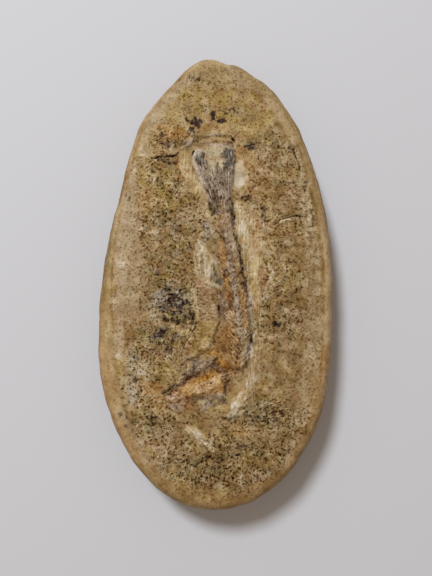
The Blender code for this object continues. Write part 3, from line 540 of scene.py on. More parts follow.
        spot(0.5, 0.5, 1.45, -26.1, 0.3, 0.3),
    ]),
    ("peach", 0.65, [spot(0.5, 0.8, -2.4, -23.4, 2.4, 0.6, 18)]),
    ("blush", 0.5, [
        patch(0.4, 1, (-9.6, -25.2), (-8, -24.2), (-5.6, -24.8), (-4.4, -26), (-5.2, -27.4), (-7.4, -27.8),
            (-8.8, -27.2)),
        line(0.4, 0.5, (-3.4, -24.9, 0.1), (-0.6, -24.6, 0.2), (1.2, -24, 0.2)),
        spot(0.4, 0.6, -5.4, -22.2, 1.2, 0.2, 25),
    ]),
    ("lilac", 0.7, [
        patch(0.5, 0.8, (-7, -21.6), (-4.8, -19.4), (-2.6, -18.2), (-0.6, -18), (0.2, -19.6), (-2.2, -20),
            (-4.6, -21)),
        spot(0.45, 0.6, -7.6, -27.2, 0.9, 0.5),
        *spots(0.4, 0.5, (0.9, -24.9, 0.6, 0.4), (-1.6, -26.6, 0.9, 0.3)),
        spot(0.25, 0.5, -9, -25.4, 0.6, 0.3, 35),
    ]),
    ("plum", 0.6, [
        line(0.5, 0.3, (0.4, -19.9, 0.1), (1.8, -20.6, 0.25), (2.4, -21.4, 0.2)),
        line(0.4, 0.3, (1.8, -22.6, 0.1), (1.9, -24.6, 0.15)),
        line(0.35, 0.5, (-8.4, -23.5, 0.04), (-6, -21.9, 0.1), (-3.6, -20.9, 0.06)),
        spot(0.7, 0.35, -2.7, -25.7, 0.8, 0.22), spot(0.5, 0.3, 1.2, -26.1, 0.4, 0.35),
    ]),
    # bone of the head
    ("lilac", 0.35, [
        line(0.85, 0.3, (-4.5, 23.4, 0.2), (-4.3, 24.2, 0.3), (-3.9, 24.7, 0.3), (-3.1, 24.9, 0.25)),
        line(0.8, 0.3, (-3.9, 21.6, 0.2), (-3.4, 20.6, 0.3), (-3.1, 19.4, 0.35), (-2.75, 18.4, 0.3),
            (-2.3, 17.5, 0.25)),
        # the next two lines are pale bone along the crest of the ledge above the head, made paler as a
        # painted highlight
        line(0.75, 0.2, (-6.6, 25.5, 0.1), (-5.8, 26.3, 0.15), (-5.25, 26.8, 0.18), (-5, 27.5, 0.15)),
        line(0.6, 0.2, (-1.9, 28.2, 0.1), (-1.2, 28.45, 0.15), (0.25, 28.6, 0.15), (1.4, 28.3, 0.1)),
        spot(0.7, 0.4, 2.2, 26.2, 0.9, 0.35), spot(0.6, 0.3, -0.2, 26.4, 1.2, 0.3),
    ]),
    ("bone", 0.25, [patch(0.95, 0.5, *headOutline)]),
    ("heart", 0.3, [
        patch(0.95, 0.6, (-2.5, 24.6), (-2, 25.5), (-0.6, 25.8), (0.6, 25.9), (1.4, 25.2), (1.5, 23.6),
            (1.4, 22.6), (1, 21.9), (0.5, 22.5), (0, 22.2), (-0.6, 21.5), (-1.3, 22), (-1.9, 23)),
        *spots(0.8, 0.3, (-0.55, 21.5, 0.3, 0.5), (1, 21.8, 0.3, 0.5)),
        spot(0.7, 0.25, -1.5, 20.4, 0.25, 0.3), spot(0.6, 0.25, -1, 19.75, 0.2, 0.25),
    ]),
    ("peach", 0.35, [
        line(0.5, 0.3, (-3.2, 26.3, 0.12), (-1.5, 26.8, 0.15), (-0.3, 26.95, 0.1)),
        spot(0.7, 0.4, 1, 23.2, 0.35, 0.5), spot(0.6, 0.4, -2, 23.6, 0.25, 0.45),
        spot(0.5, 0.4, -0.4, 23.2, 0.6, 0.3),
    ]),
    ("rust", 0.4, [
        *lines(0.6, 0.25, ((-2.6, 26.5, 0.1), (-1.5, 26.75, 0.12), (-0.4, 26.9, 0.1)),
            ((0.9, 27.1, 0.12), (2.3, 27, 0.15), (3.2, 26.6, 0.12))),
        line(0.5, 0.15, (-0.9, 25.5, 0.06), (-0.2, 25.55, 0.06)),
    ]),
    ("umber", 0.4, [
        line(0.65, 0.25, (0.3, 22.3, 0.08), (0.4, 21.4, 0.18), (0.4, 20.6, 0.25)),
        line(0.45, 0.5, (-1.4, 16.1, 0.3), (-0.5, 15.1, 0.45), (1, 15.1, 0.4), (2.6, 15, 0.3)),
        *spots(0.6, 0.3, (3.5, 24.8, 0.25, 0.35), (2, 21, 0.35, 0.35)),
        *spots(0.55, 0.4, (2.25, 18.9, 0.3, 0.8), (2.2, 16.8, 0.35, 0.5)),
        *spots(0.5, 0.4, (-0.4, 17.5, 0.35, 0.5), (0, 19.3, 0.4, 0.5), (3.4, 20.5, 0.25, 0.4)),
        spot(0.5, 0.5, -1.25, 18.3, 0.4, 0.7),
    ]),
    ("plum", 0.35, [*spots(0.3, 1, (0.9, 16.4, 1.8, 1.4), (1.2, 13.2, 1.6, 1))]),
    ("lilac", 0.35, [
        line(0.8, 0.3, (-4.4, 23.6, 0.15), (-4.1, 24.5, 0.2), (-3.4, 24.9, 0.2), (-2.6, 24.8, 0.1)),
        line(0.75, 0.3, (-4.5, 22.8, 0.1), (-4, 21.4, 0.2), (-3.3, 19.6, 0.3), (-2.9, 18.4, 0.25),
            (-2.2, 16.8, 0.12)),
        line(0.5, 0.3, (3, 25.7, 0.1), (2.2, 25.9, 0.2), (1.4, 25.6, 0.1)),
        line(0.35, 0.4, (2.4, 20.6, 0.2), (2.6, 18.6, 0.3), (2.4, 17.2, 0.2)),
        line(0.3, 0.6, (-0.8, 19, 0.3), (0.2, 17, 0.4), (0.9, 15.4, 0.3)),
        spot(0.5, 0.3, -3.1, 22.9, 0.15, 0.5, 20), spot(0.4, 0.4, 1.8, 11.2, 0.4, 0.4),
    ]),
    ("white", 0.6, [
        line(0.5, 0.25, (-4.7, 22.8, 0.04), (-4.6, 23.8, 0.1), (-4.2, 24.8, 0.14), (-3.2, 25.2, 0.1)),
        line(0.35, 0.3, (-4.2, 21.6, 0.06), (-3.4, 19.6, 0.12), (-2.8, 17.8, 0.06)),
    ]),
    ("bone", 0.7, [
        patch(0.35, 0.6, (-2.4, 20), (-1.6, 16.6), (-0.6, 13.4), (2.8, 13.4), (3, 17), (3.2, 19.6),
            (0.6, 20.2)),
    ]),
    ("rust", 0.4, [spot(0.5, 0.4, 1.8, 14.4, 0.5, 0.3)]),
    ("clay", 0.35, [
        spot(0.75, 0.4, 1, 12.9, 0.4, 0.6), spot(0.6, 0.4, 1.9, 12.6, 0.4, 0.5),
        spot(0.4, 0.4, 0.75, 17.9, 0.4, 0.5),
    ]),
    ("slate", 0.4, [
        line(0.7, 0.3, (-2.1, 17.2, 0.12), (-1.8, 16, 0.2)),
        *spots(0.7, 0.3, (-2.2, 22.6, 0.4, 0.45), (2.6, 22.8, 0.3, 0.3)),
        spot(0.6, 0.3, -2.75, 21.75, 0.35, 0.35), spot(0.6, 0.4, 1.25, 18.5, 0.4, 0.7),
    ]),
    ("teal", 0.4, [
        *spots(0.9, 0.25, (-2.9, 23.9, 0.4, 0.45), (2.3, 22, 0.4, 0.4)),
        spot(0.85, 0.3, -3.6, 23, 0.35, 0.8, 20), spot(0.8, 0.2, 3.75, 22.1, 0.18, 0.5),
        *spots(0.8, 0.25, (2.1, 24.6, 0.35, 0.8), (3.15, 22.2, 0.3, 0.4)),
        spot(0.8, 0.3, -3.3, 22.2, 0.4, 0.35), spot(0.68, 0.3, 3, 24.1, 0.7, 1),
        spot(0.6, 0.3, 1.4, 24, 0.25, 0.35),
    ]),
    ("olive", 0.4, [
        line(0.85, 0.25, (-1.3, 13.9, 0.2), (-1, 12.7, 0.25), (-0.4, 12, 0.25), (-0.8, 11.3, 0.15)),
        line(0.8, 0.25, (3.4, 13.7, 0.2), (3.1, 12.4, 0.2), (3.3, 11.3, 0.2)),
    ]),
    ("slate", 0.4, [
        spot(0.6, 0.4, 7, 26.1, 0.5, 0.5), spot(0.5, 0.3, -6.1, 26.6, 0.4, 0.15, 30),
        spot(0.5, 0.4, 7.75, 25.5, 0.4, 0.4),
    ]),
    # charcoal
    ("soot", 0.5, [
        line(0.9, 0.15, (-9, -14.5, 0.15), (-8.6, -13.8, 0.18)),
        *lines(0.9, 0.25, ((-7.2, -4, 0.2), (-7.9, -4.7, 0.3), (-8.4, -5.2, 0.25), (-8.5, -6.1, 0.25)),
            ((-8.2, -7.1, 0.2), (-7.2, -7.2, 0.3), (-6.4, -6.9, 0.3), (-5.8, -6.4, 0.2))),
        line(0.85, 0.2, (-7.5, -7.5, 0.15), (-7.2, -8.1, 0.2)),
        line(0.85, 0.25, (-8.9, -6.5, 0.3), (-9.5, -6.3, 0.2), (-10, -5.7, 0.15), (-10.6, -5, 0.1)),
        line(0.6, 0.2, (-8, -6.6, 0.1), (-7.2, -6, 0.1)),
        line(0.6, 0.25, (-10.2, -9.9, 0.12), (-9.5, -10.2, 0.15)),
        line(0.5, 0.2, (-9, -2, 0.1), (-8.4, -2.9, 0.1)),
        line(0.45, 0.25, (-10.1, -25.3, 0.08), (-9.6, -24.6, 0.14), (-8.9, -24.1, 0.12), (-8, -23.2, 0.06)),
        spot(0.9, 0.2, -8.7, -8.55, 0.3, 0.2), spot(0.8, 0.25, -6.8, -6.5, 0.3, 0.2),
        spot(0.8, 0.4, -9.6, -4, 0.5, 0.35), spot(0.75, 0.2, -8, -12.8, 0.25, 0.25),
        spot(0.7, 0.2, -10.6, -8.4, 0.2, 0.2), spot(0.7, 0.25, -9.4, -8.2, 0.3, 0.15),
        spot(0.7, 0.3, -9.2, -7, 0.4, 0.3),
        *spots(0.6, 0.2, (-10.5, -4.2, 0.25, 0.15), (-5.9, -4.4, 0.15, 0.35)),
        spot(0.5, 0.4, 6.1, -18.8, 0.25, 0.45),
    ]),
    # clouds of specks
    ("soot", 1, [
        spot(0.85, 0.6, -4.9, 29.3, 0.5, 0.7), spot(0.8, 0.5, -3.9, 30.2, 0.4, 0.4),
        spot(0.8, 0.6, 1.15, 31.2, 0.6, 0.4), spot(0.8, 0.8, -4.2, 31.2, 0.9, 0.7),
        spot(0.75, 0.6, -5.8, 31.7, 0.5, 0.4), spot(0.75, 0.7, 7.1, 26, 0.7, 0.6),
        spot(0.65, 0.6, 12.4, -10.9, 0.8, 0.4), spot(0.65, 0.7, -0.7, 32.5, 0.4, 0.7),
        spot(0.6, 0.8, -11.3, -12.8, 1.4, 0.7), spot(0.55, 0.8, -7.9, -6.7, 1, 0.8),
        *spots(0.5, 0.8, (-9.3, -9.6, 1.6, 0.7), (-9, 26.6, 1.6, 0.5)),
        spot(0.45, 1.5, -8.6, -6.2, 2.2, 1.8),
    ]),
    ("umber", 1, [
        line(0.7, 0.4, (3.5, 11.6, 0.1), (3.7, 8.8, 0.1)),
        # painted shadow under the crack at the upper left
        line(0.7, 0.7, (-12, 22.9, 0.1), (-10.2, 22.9, 0.5), (-8.4, 22.6, 0.4)),
        line(0.6, 0.5, (-5, -7, 0.2), (-4.6, -10.4, 0.4)),
        line(0.55, 0.6, (3.6, 8.4, 0.05), (4.6, 5.2, 0.15), (5.1, 2, 0.2), (5.5, -0.4, 0.15),
            (6, -3.2, 0.1), (6.7, -6.4, 0.05)),
        line(0.45, 0.35, (7.1, -11.6, 0.1), (7, -14.6, 0.12), (6.2, -19.4, 0.15)),
        line(0.4, 0.35, (19.4, 16, 0.1), (19.7, 11, 0.2), (20.1, 6, 0.15), (20.3, 2.6, 0.1)),
        line(0.4, 0.8, (9.6, 12.6, 0.3), (9.8, 9.6, 0.2)),
        line(0.3, 0.5, (18, 19, 0.2), (18.6, 13, 0.3), (18.9, 7, 0.2)), spot(0.6, 0.8, 1, 14.4, 1.6, 0.7),
        spot(0.55, 0.8, -10.4, 26.2, 2, 0.7), spot(0.5, 0.6, -11.6, 28.4, 0.4, 0.8),
        *spots(0.5, 0.8, (15.6, 25.4, 0.9, 0.6), (-12.6, -29.4, 1.4, 0.8)),
        spot(0.5, 1, -0.2, 16, 1.4, 0.8), spot(0.5, 1.2, -10.2, -16, 1.8, 1),
        *spots(0.45, 0.8, (12.4, 28.4, 0.8, 0.6), (-8.4, 17.2, 1.2, 1.2), (6.6, 14.8, 1, 0.6)),
        *spots(0.45, 1.2, (4.8, -35.2, 2.2, 0.9), (-1, -37.8, 3, 1), (10.4, -28.4, 2.8, 1.4)),
        spot(0.4, 0.8, -14, 9.8, 1.2, 0.6), spot(0.4, 1, -5.4, 40.5, 1.6, 0.5),
        spot(0.4, 1.2, 3, 33.6, 1.2, 0.9), spot(0.35, 0.8, -16, -18.6, 0.5, 0.9),
        spot(0.35, 1, -15.6, -23.6, 0.8, 1.6), spot(0.3, 0.6, -1.4, -26.4, 2.4, 0.5),
        spot(0.3, 1, -3, -19.4, 3.4, 0.9, 20), spot(0.25, 0.8, -7.4, -26.6, 1.6, 0.8),
        spot(0.2, 0.8, -3, -23.6, 3, 0.8, 20),
    ]),
    ("olive", 1, [
        spot(0.5, 0.4, -17.8, -31, 0.4, 0.4), spot(0.5, 1, -6.6, -10.2, 1.6, 0.7),
        spot(0.45, 0.6, -18.2, 15, 0.4, 0.7), spot(0.4, 0.6, -18.4, -28.8, 0.8, 0.7),
        spot(0.4, 1, 8, -28, 2.2, 1.2), spot(0.35, 0.5, -21.3, -19.2, 0.5, 0.6),
    ]),
    ("dove", 1, [
        spot(0.6, 0.6, -14.8, 8.8, 0.7, 0.5), spot(0.6, 1, -11.4, -5.4, 1, 1.6),
        *spots(0.5, 0.6, (-11.9, -13.6, 0.8, 0.3), (-8.5, 7.8, 0.7, 0.5)),
        spot(0.5, 0.8, -8.6, -8.4, 1.4, 0.4), spot(0.4, 0.7, -16.4, -25.2, 0.5, 1.2),
        spot(0.35, 0.7, -15.6, -18.4, 0.4, 0.8), spot(0.35, 1, -8.6, -5.8, 2, 1.8),
    ]),
]

# where the surface is smoother than the rough ground
calm = [
    line(1, 1, (4.8, 22, 1.2), (5, 18, 1.2)), line(0.9, 1, (-6.5, 25, 1), (-6, 20, 1.4), (-3.5, 16.5, 0.8)),
    line(0.9, 1.8, (-17.4, 25, 0.8), (-15, 30, 1.6), (-11.6, 36.6, 1.8), (-6, 41.6, 2), (0, 43.8, 2),
        (6, 42, 2), (11, 38.4, 1.8), (14.6, 33, 1.4), (16.6, 27, 0.8)),
    line(0.8, 0.8, (-5.2, -31.6, 0.4), (-3, -33.4, 0.8)),
    line(0.8, 1, (5.2, 13, 0.8), (6.5, 8.5, 1.6), (7.5, 2, 1.2), (7.9, -4, 0.8), (7.6, -12, 0.6),
        (7.3, -20, 1.2), (4, -27.5, 1.2)),
    line(0.3, 1, (-17, 22, 0.6), (-18.6, 12, 1.2), (-19.5, 2, 1.2), (-19.6, -10, 0.9), (-18.8, -18, 0.6)),
    line(0.2, 1, (18.2, 20, 0.8), (19.6, 6, 1), (19.8, -8, 1.2), (18.2, -24, 1.2)),
    line(0.1, 1.5, (0, 24, 4), (0.5, 16, 3.5), (1.5, 6, 5), (2.5, -4, 5.5), (3, -14, 4.5), (0, -22, 4)),
    spot(0.6, 0.6, -3, 2, 1.4, 3.5), spot(0.35, 4, 0, 37, 9, 5), spot(0.15, 1, -2, -13, 1.6, 3.4),
    spot(0.1, 1, -5, -24, 3.5, 1),
]

# broad lighter and darker areas
light = [
    *lines(1, 0.5, ((-20.6, 13, 0.2), (-21.1, 4, 0.3), (-21.1, -4, 0.35), (-20.8, -12, 0.4),
        (-19.8, -20, 0.3), (-16.4, -28, 0.3)),
        ((20.3, 14, 0.4), (20.4, 10, 0.4), (21.1, 4, 0.3), (21.8, -4, 0.3), (20.4, -12, 0.3)),
        ((-4.6, -22.6, 0.1), (-2.4, -21.6, 0.25), (-0.2, -20.9, 0.1))),
    *lines(1, 1.5, ((21.6, 6, 0.8), (22.4, -4, 1.2), (21.6, -14, 1)),
        ((-18.4, -17.5, 0.8), (-17.8, -25.5, 0.8))),
    line(1, 2, (17.2, 17, 1), (17.8, 8, 1.2)), line(1, 2.5, (-12, 29, 2), (-14, 23.5, 1), (-14.2, 15.5, 1)),
    line(0.9, 0.6, (16.6, 22, 0.2), (15.9, 18, 0.3)),
    line(0.8, 0.5, (-7.2, -21.9, 0.1), (-5.2, -20.6, 0.3), (-2.4, -19.6, 0.2)),
    *lines(0.8, 2, ((0.6, 28.8, 0.6), (6.6, 28, 1.4)), ((9.4, 13, 1.5), (14, 11.8, 1.4))),
    line(0.8, 2.5, (14.4, 29, 1.5), (14.6, 23, 1)),
    line(0.7, 0.4, (-4.4, 22.4, 0.1), (-3.6, 20, 0.2), (-2.9, 18, 0.2)),
    line(0.6, 0.6, (-6.4, 22.6, 0.3), (-6, 20.4, 0.3), (-5.2, 19, 0.2)),
    *spots(1, 0.8, (-16.8, 12, 0.4, 2), (-2.4, -23.4, 2.4, 0.6, 18), (-7.6, -25.6, 1.4, 1)),
    *spots(1, 1.5, (-14, -12.6, 1.5, 1), (-1.6, 44.4, 2.4, 1.2)),
    *spots(1, 2, (-14, -24.2, 1.4, 1.4), (-14, -32.4, 1.4, 1.4)),
    *spots(0.9, 0.8, (17.6, -4, 0.4, 2), (-16.2, -20, 0.4, 2)), spot(0.9, 1.2, -13, -28, 0.5, 1.6),
    spot(0.8, 1, 6, -12, 0.8, 1.6),
    *spots(0.8, 1.5, (10, 0, 1, 1.2), (-22, -8, 0.6, 2), (10, 12.6, 1.4, 1)),
    *spots(0.8, 2, (12.4, -0.4, 2, 1.6), (9.6, -28, 2, 1.2)), spot(0.7, 0.8, -1.9, 9.3, 0.6, 1.2),
    spot(0.7, 1, -6, -8.4, 0.8, 0.8), spot(0.7, 1.2, -10, -4, 1, 1),
    *spots(0.7, 1.5, (-18.2, 1.6, 1, 2.2), (2.2, 24, 1.2, 1.6), (2.2, 40.2, 2, 1), (2, 12.2, 0.8, 1.4),
        (-2.2, -32.4, 1.2, 0.8), (18, -28.4, 0.8, 1.4), (18.2, -16.4, 0.8, 1.4)),
    *spots(0.7, 2, (-10, 36, 1.6, 1.4), (-9.8, -4.6, 1.6, 1.4), (-10, -28.4, 1.4, 1.2),
        (18.4, -10.4, 1, 1.6), (22.4, -8, 0.6, 2.4), (-22.4, -9, 0.6, 2.4)),
    spot(0.6, 0.6, -3.2, 4, 0.4, 1.4),
    *spots(0.6, 1.5, (-2.2, 8.8, 0.7, 1.6), (-9.8, 16.4, 1.4, 1.4), (-2, 8.2, 1, 1), (6.2, 8.4, 1.2, 2),
        (-13.6, -27, 1.4, 1.4)),
    *spots(0.6, 2, (1, 44.2, 3, 1.2), (-14.2, -11.6, 1.4, 1.2), (22, -2, 0.8, 4), (10, 12.2, 1.6, 1.2),
        (-10, -36.2, 1.4, 1.2), (-14, 16.2, 1, 1.4), (-14, 28.2, 1.2, 1.2), (10.2, 5, 1.4, 3.4),
        (-2.2, 36, 1.8, 1.4), (-14, 32, 1.2, 1.2), (14, -36.2, 1.2, 1)),
    spot(0.5, 1, 3.7, -27.8, 0.5, 1),
    *spots(0.5, 1.5, (18, -27.6, 0.8, 1.6), (-4, 12, 2, 1), (6, -5.6, 0.8, 2.6)),
    *spots(0.5, 2, (-13.6, -16.8, 2.6, 3.4), (6, 12, 0.8, 1), (10, 28.2, 1.4, 1.2), (22, 4, 0.8, 2),
        (12, 0.6, 2, 2), (17.4, 14, 1, 3), (12, 12, 3, 1.2), (-6, 32.4, 1.4, 1.2), (-9.8, 24.4, 1.4, 1.2)),
    *spots(0.4, 2, (1, -39.6, 7, 2), (-12, -30.4, 3, 3), (10, -22.4, 1.4, 2)),
]
shade = [
    line(1, 0.5, (-19.2, 13.6, 0.4), (-19.5, 9, 0.4), (-19.8, 4, 0.25)),
    line(0.9, 0.4, (18.2, 14, 0.15), (18.5, 10, 0.15), (19.6, 4, 0.3), (19.1, -4, 0.4), (18.6, -10, 0.2)),
    line(0.9, 0.5, (-18.2, -10, 0.3), (-17.9, -20, 0.4)),
    *lines(0.8, 0.5, ((-23.1, 12, 0.1), (-22.8, -4, 0.2), (-22.5, -12, 0.2)),
        ((1.5, 7.8, 0.2), (2.4, 4.6, 0.3), (2.9, 1.4, 0.2))),
    line(0.8, 0.7, (19.4, 28, 0.2), (21.6, 20, 0.3), (23.2, 12, 0.3), (22.8, 5, 0.1)),
    line(0.7, 2.5, (-9.6, 1, 2), (-6.2, 0.2, 1.2)),
    line(0.6, 0.8, (-23.9, 6, 0.2), (-24.1, -4, 0.3), (-23.6, -10, 0.2)),
    spot(1, 1.5, 2.2, -23.8, 0.8, 1.2), spot(1, 2, -10, 40, 1.6, 1),
    *spots(0.9, 1.5, (-5.8, 24.6, 0.8, 0.8), (10.4, -3.8, 1.4, 1.6)),
    *spots(0.9, 2, (-17.8, 16.4, 1, 2), (-1, -28.4, 2.6, 1)),
    *spots(0.8, 1.5, (-6, 8, 1.4, 1.2), (-18.2, -8.4, 1, 2)),
    *spots(0.8, 2, (6.4, 36.2, 1.6, 1.4), (-6, -24.6, 1.6, 1.2)),
    *spots(0.7, 1.5, (-6.6, 24.4, 0.8, 1.4), (2.4, -44.2, 1.6, 0.8)),
    *spots(0.7, 2, (18, -8.2, 0.8, 1.2), (14, 16, 1.4, 1.6), (-6.2, -31.6, 1.4, 1.4), (-10, -8.4, 2, 1.6)),
    spot(0.6, 1, -2.2, 16, 0.6, 1.2), spot(0.6, 1.2, -9.8, -24.4, 0.8, 1.2),
    *spots(0.6, 1.5, (-14, -7.6, 1.2, 1), (2.4, -4.2, 0.8, 1.4), (-6, 16, 1.2, 1.2), (-14, -17, 1.2, 1.4)),
    *spots(0.6, 2, (-10, -24, 1.2, 1.4), (10, 16, 1.4, 1.4), (-6, -20.6, 1.2, 1), (10, -40.2, 1.6, 1),
        (14, -27.6, 1.2, 1.2), (14, -16.4, 1.4, 1.4), (-2, -36.4, 2, 1.4)),
    spot(0.5, 1.5, 2.2, 0, 0.6, 1.4), *spots(0.5, 2, (6, -23.8, 1, 1.2), (14.2, 4.4, 1.4, 1.4)),
    spot(0.5, 3, -13.4, -2.6, 3, 3), spot(0.2, 0.6, 0, 24.4, 1.2, 0.8),
]

# bone of the head and ribs of the body, which the fibres follow
onHead = [
    line(0.6, 0.5, (-3, 20.4, 0.3), (-2, 16.4, 0.3)), patch(0.95, 0.6, *headOutline),
]
onBody = [
    line(0.9, 0.6, (1.2, 11, 1.6), (2, 7, 1.8), (2.7, 2, 2.2), (3.5, -3.5, 2.4), (4.3, -9, 2.6),
        (4.3, -15, 2.4), (4, -20, 1.6)),
]

# streaks that run with the fibres elsewhere: the way they point in degrees from the x axis, their length and
# width in millimetres, how strong they are and where they lie
streaks = {
    "onLobe": {"turn": -7.0, "long": 1.1, "short": 0.42, "depth": 0.55, "marks": [
        patch(1, 0.8, (-4.4, -2), (0.6, -3.8), (0.8, -9), (0, -12.8), (-1.4, -16.4), (-7, -19.8),
            (-6, -14.2), (-3.9, -10.6), (-3.6, -6)),
    ]},
    "onTail": {"turn": 27.0, "long": 0.9, "short": 0.3, "depth": 0.65, "marks": [
        line(1, 0.8, (-9, -25.6, 0.8), (-4.6, -22.6, 2.4), (-0.6, -21, 2.8), (1.4, -21.6, 1.6)),
    ]},
    "upright": {"turn": 85.0, "long": 1.7, "short": 0.38, "depth": 0.65, "marks": [
        line(1, 0.8, (-4, 6, 0.8), (-2.4, 1.5, 1.8), (-1.4, -1.6, 1)),
        *lines(1, 1, ((-6.5, 24.5, 0.8), (-5.6, 20, 0.8), (-3.6, 16.5, 0.4)), ((4.8, 13.6, 0.6),
            (6.2, 8.5, 1.8), (7.4, 3, 1.2), (7.9, -4, 1), (7.8, -12, 0.8), (7.4, -20, 1.2),
            (6.4, -25, 0.8))),
        line(0.8, 0.6, (4.9, 3, 0.4), (6.6, -6, 0.6), (6.9, -16, 0.8)),
        line(0.35, 1, (18, 20, 0.8), (19.4, 8, 1), (19.4, -8, 0.8)),
        line(0.2, 1, (4.8, 22, 0.6), (5.4, 17.5, 0.8)),
    ]},
    "slanting": {"turn": 60.0, "long": 1.2, "short": 0.4, "depth": 0.7, "marks": [
        line(1, 1, (6.2, -23.4, 0.8), (4.6, -26.4, 1), (3.2, -28.8, 0.6)),
    ]},
    "streakLow": {"turn": -42.0, "long": 1.1, "short": 0.4, "depth": 0.7, "marks": [
        line(1, 0.8, (-5.4, -31.4, 0.4), (-3.2, -33.2, 0.8), (0.2, -36.4, 0.4)),
    ]},
}

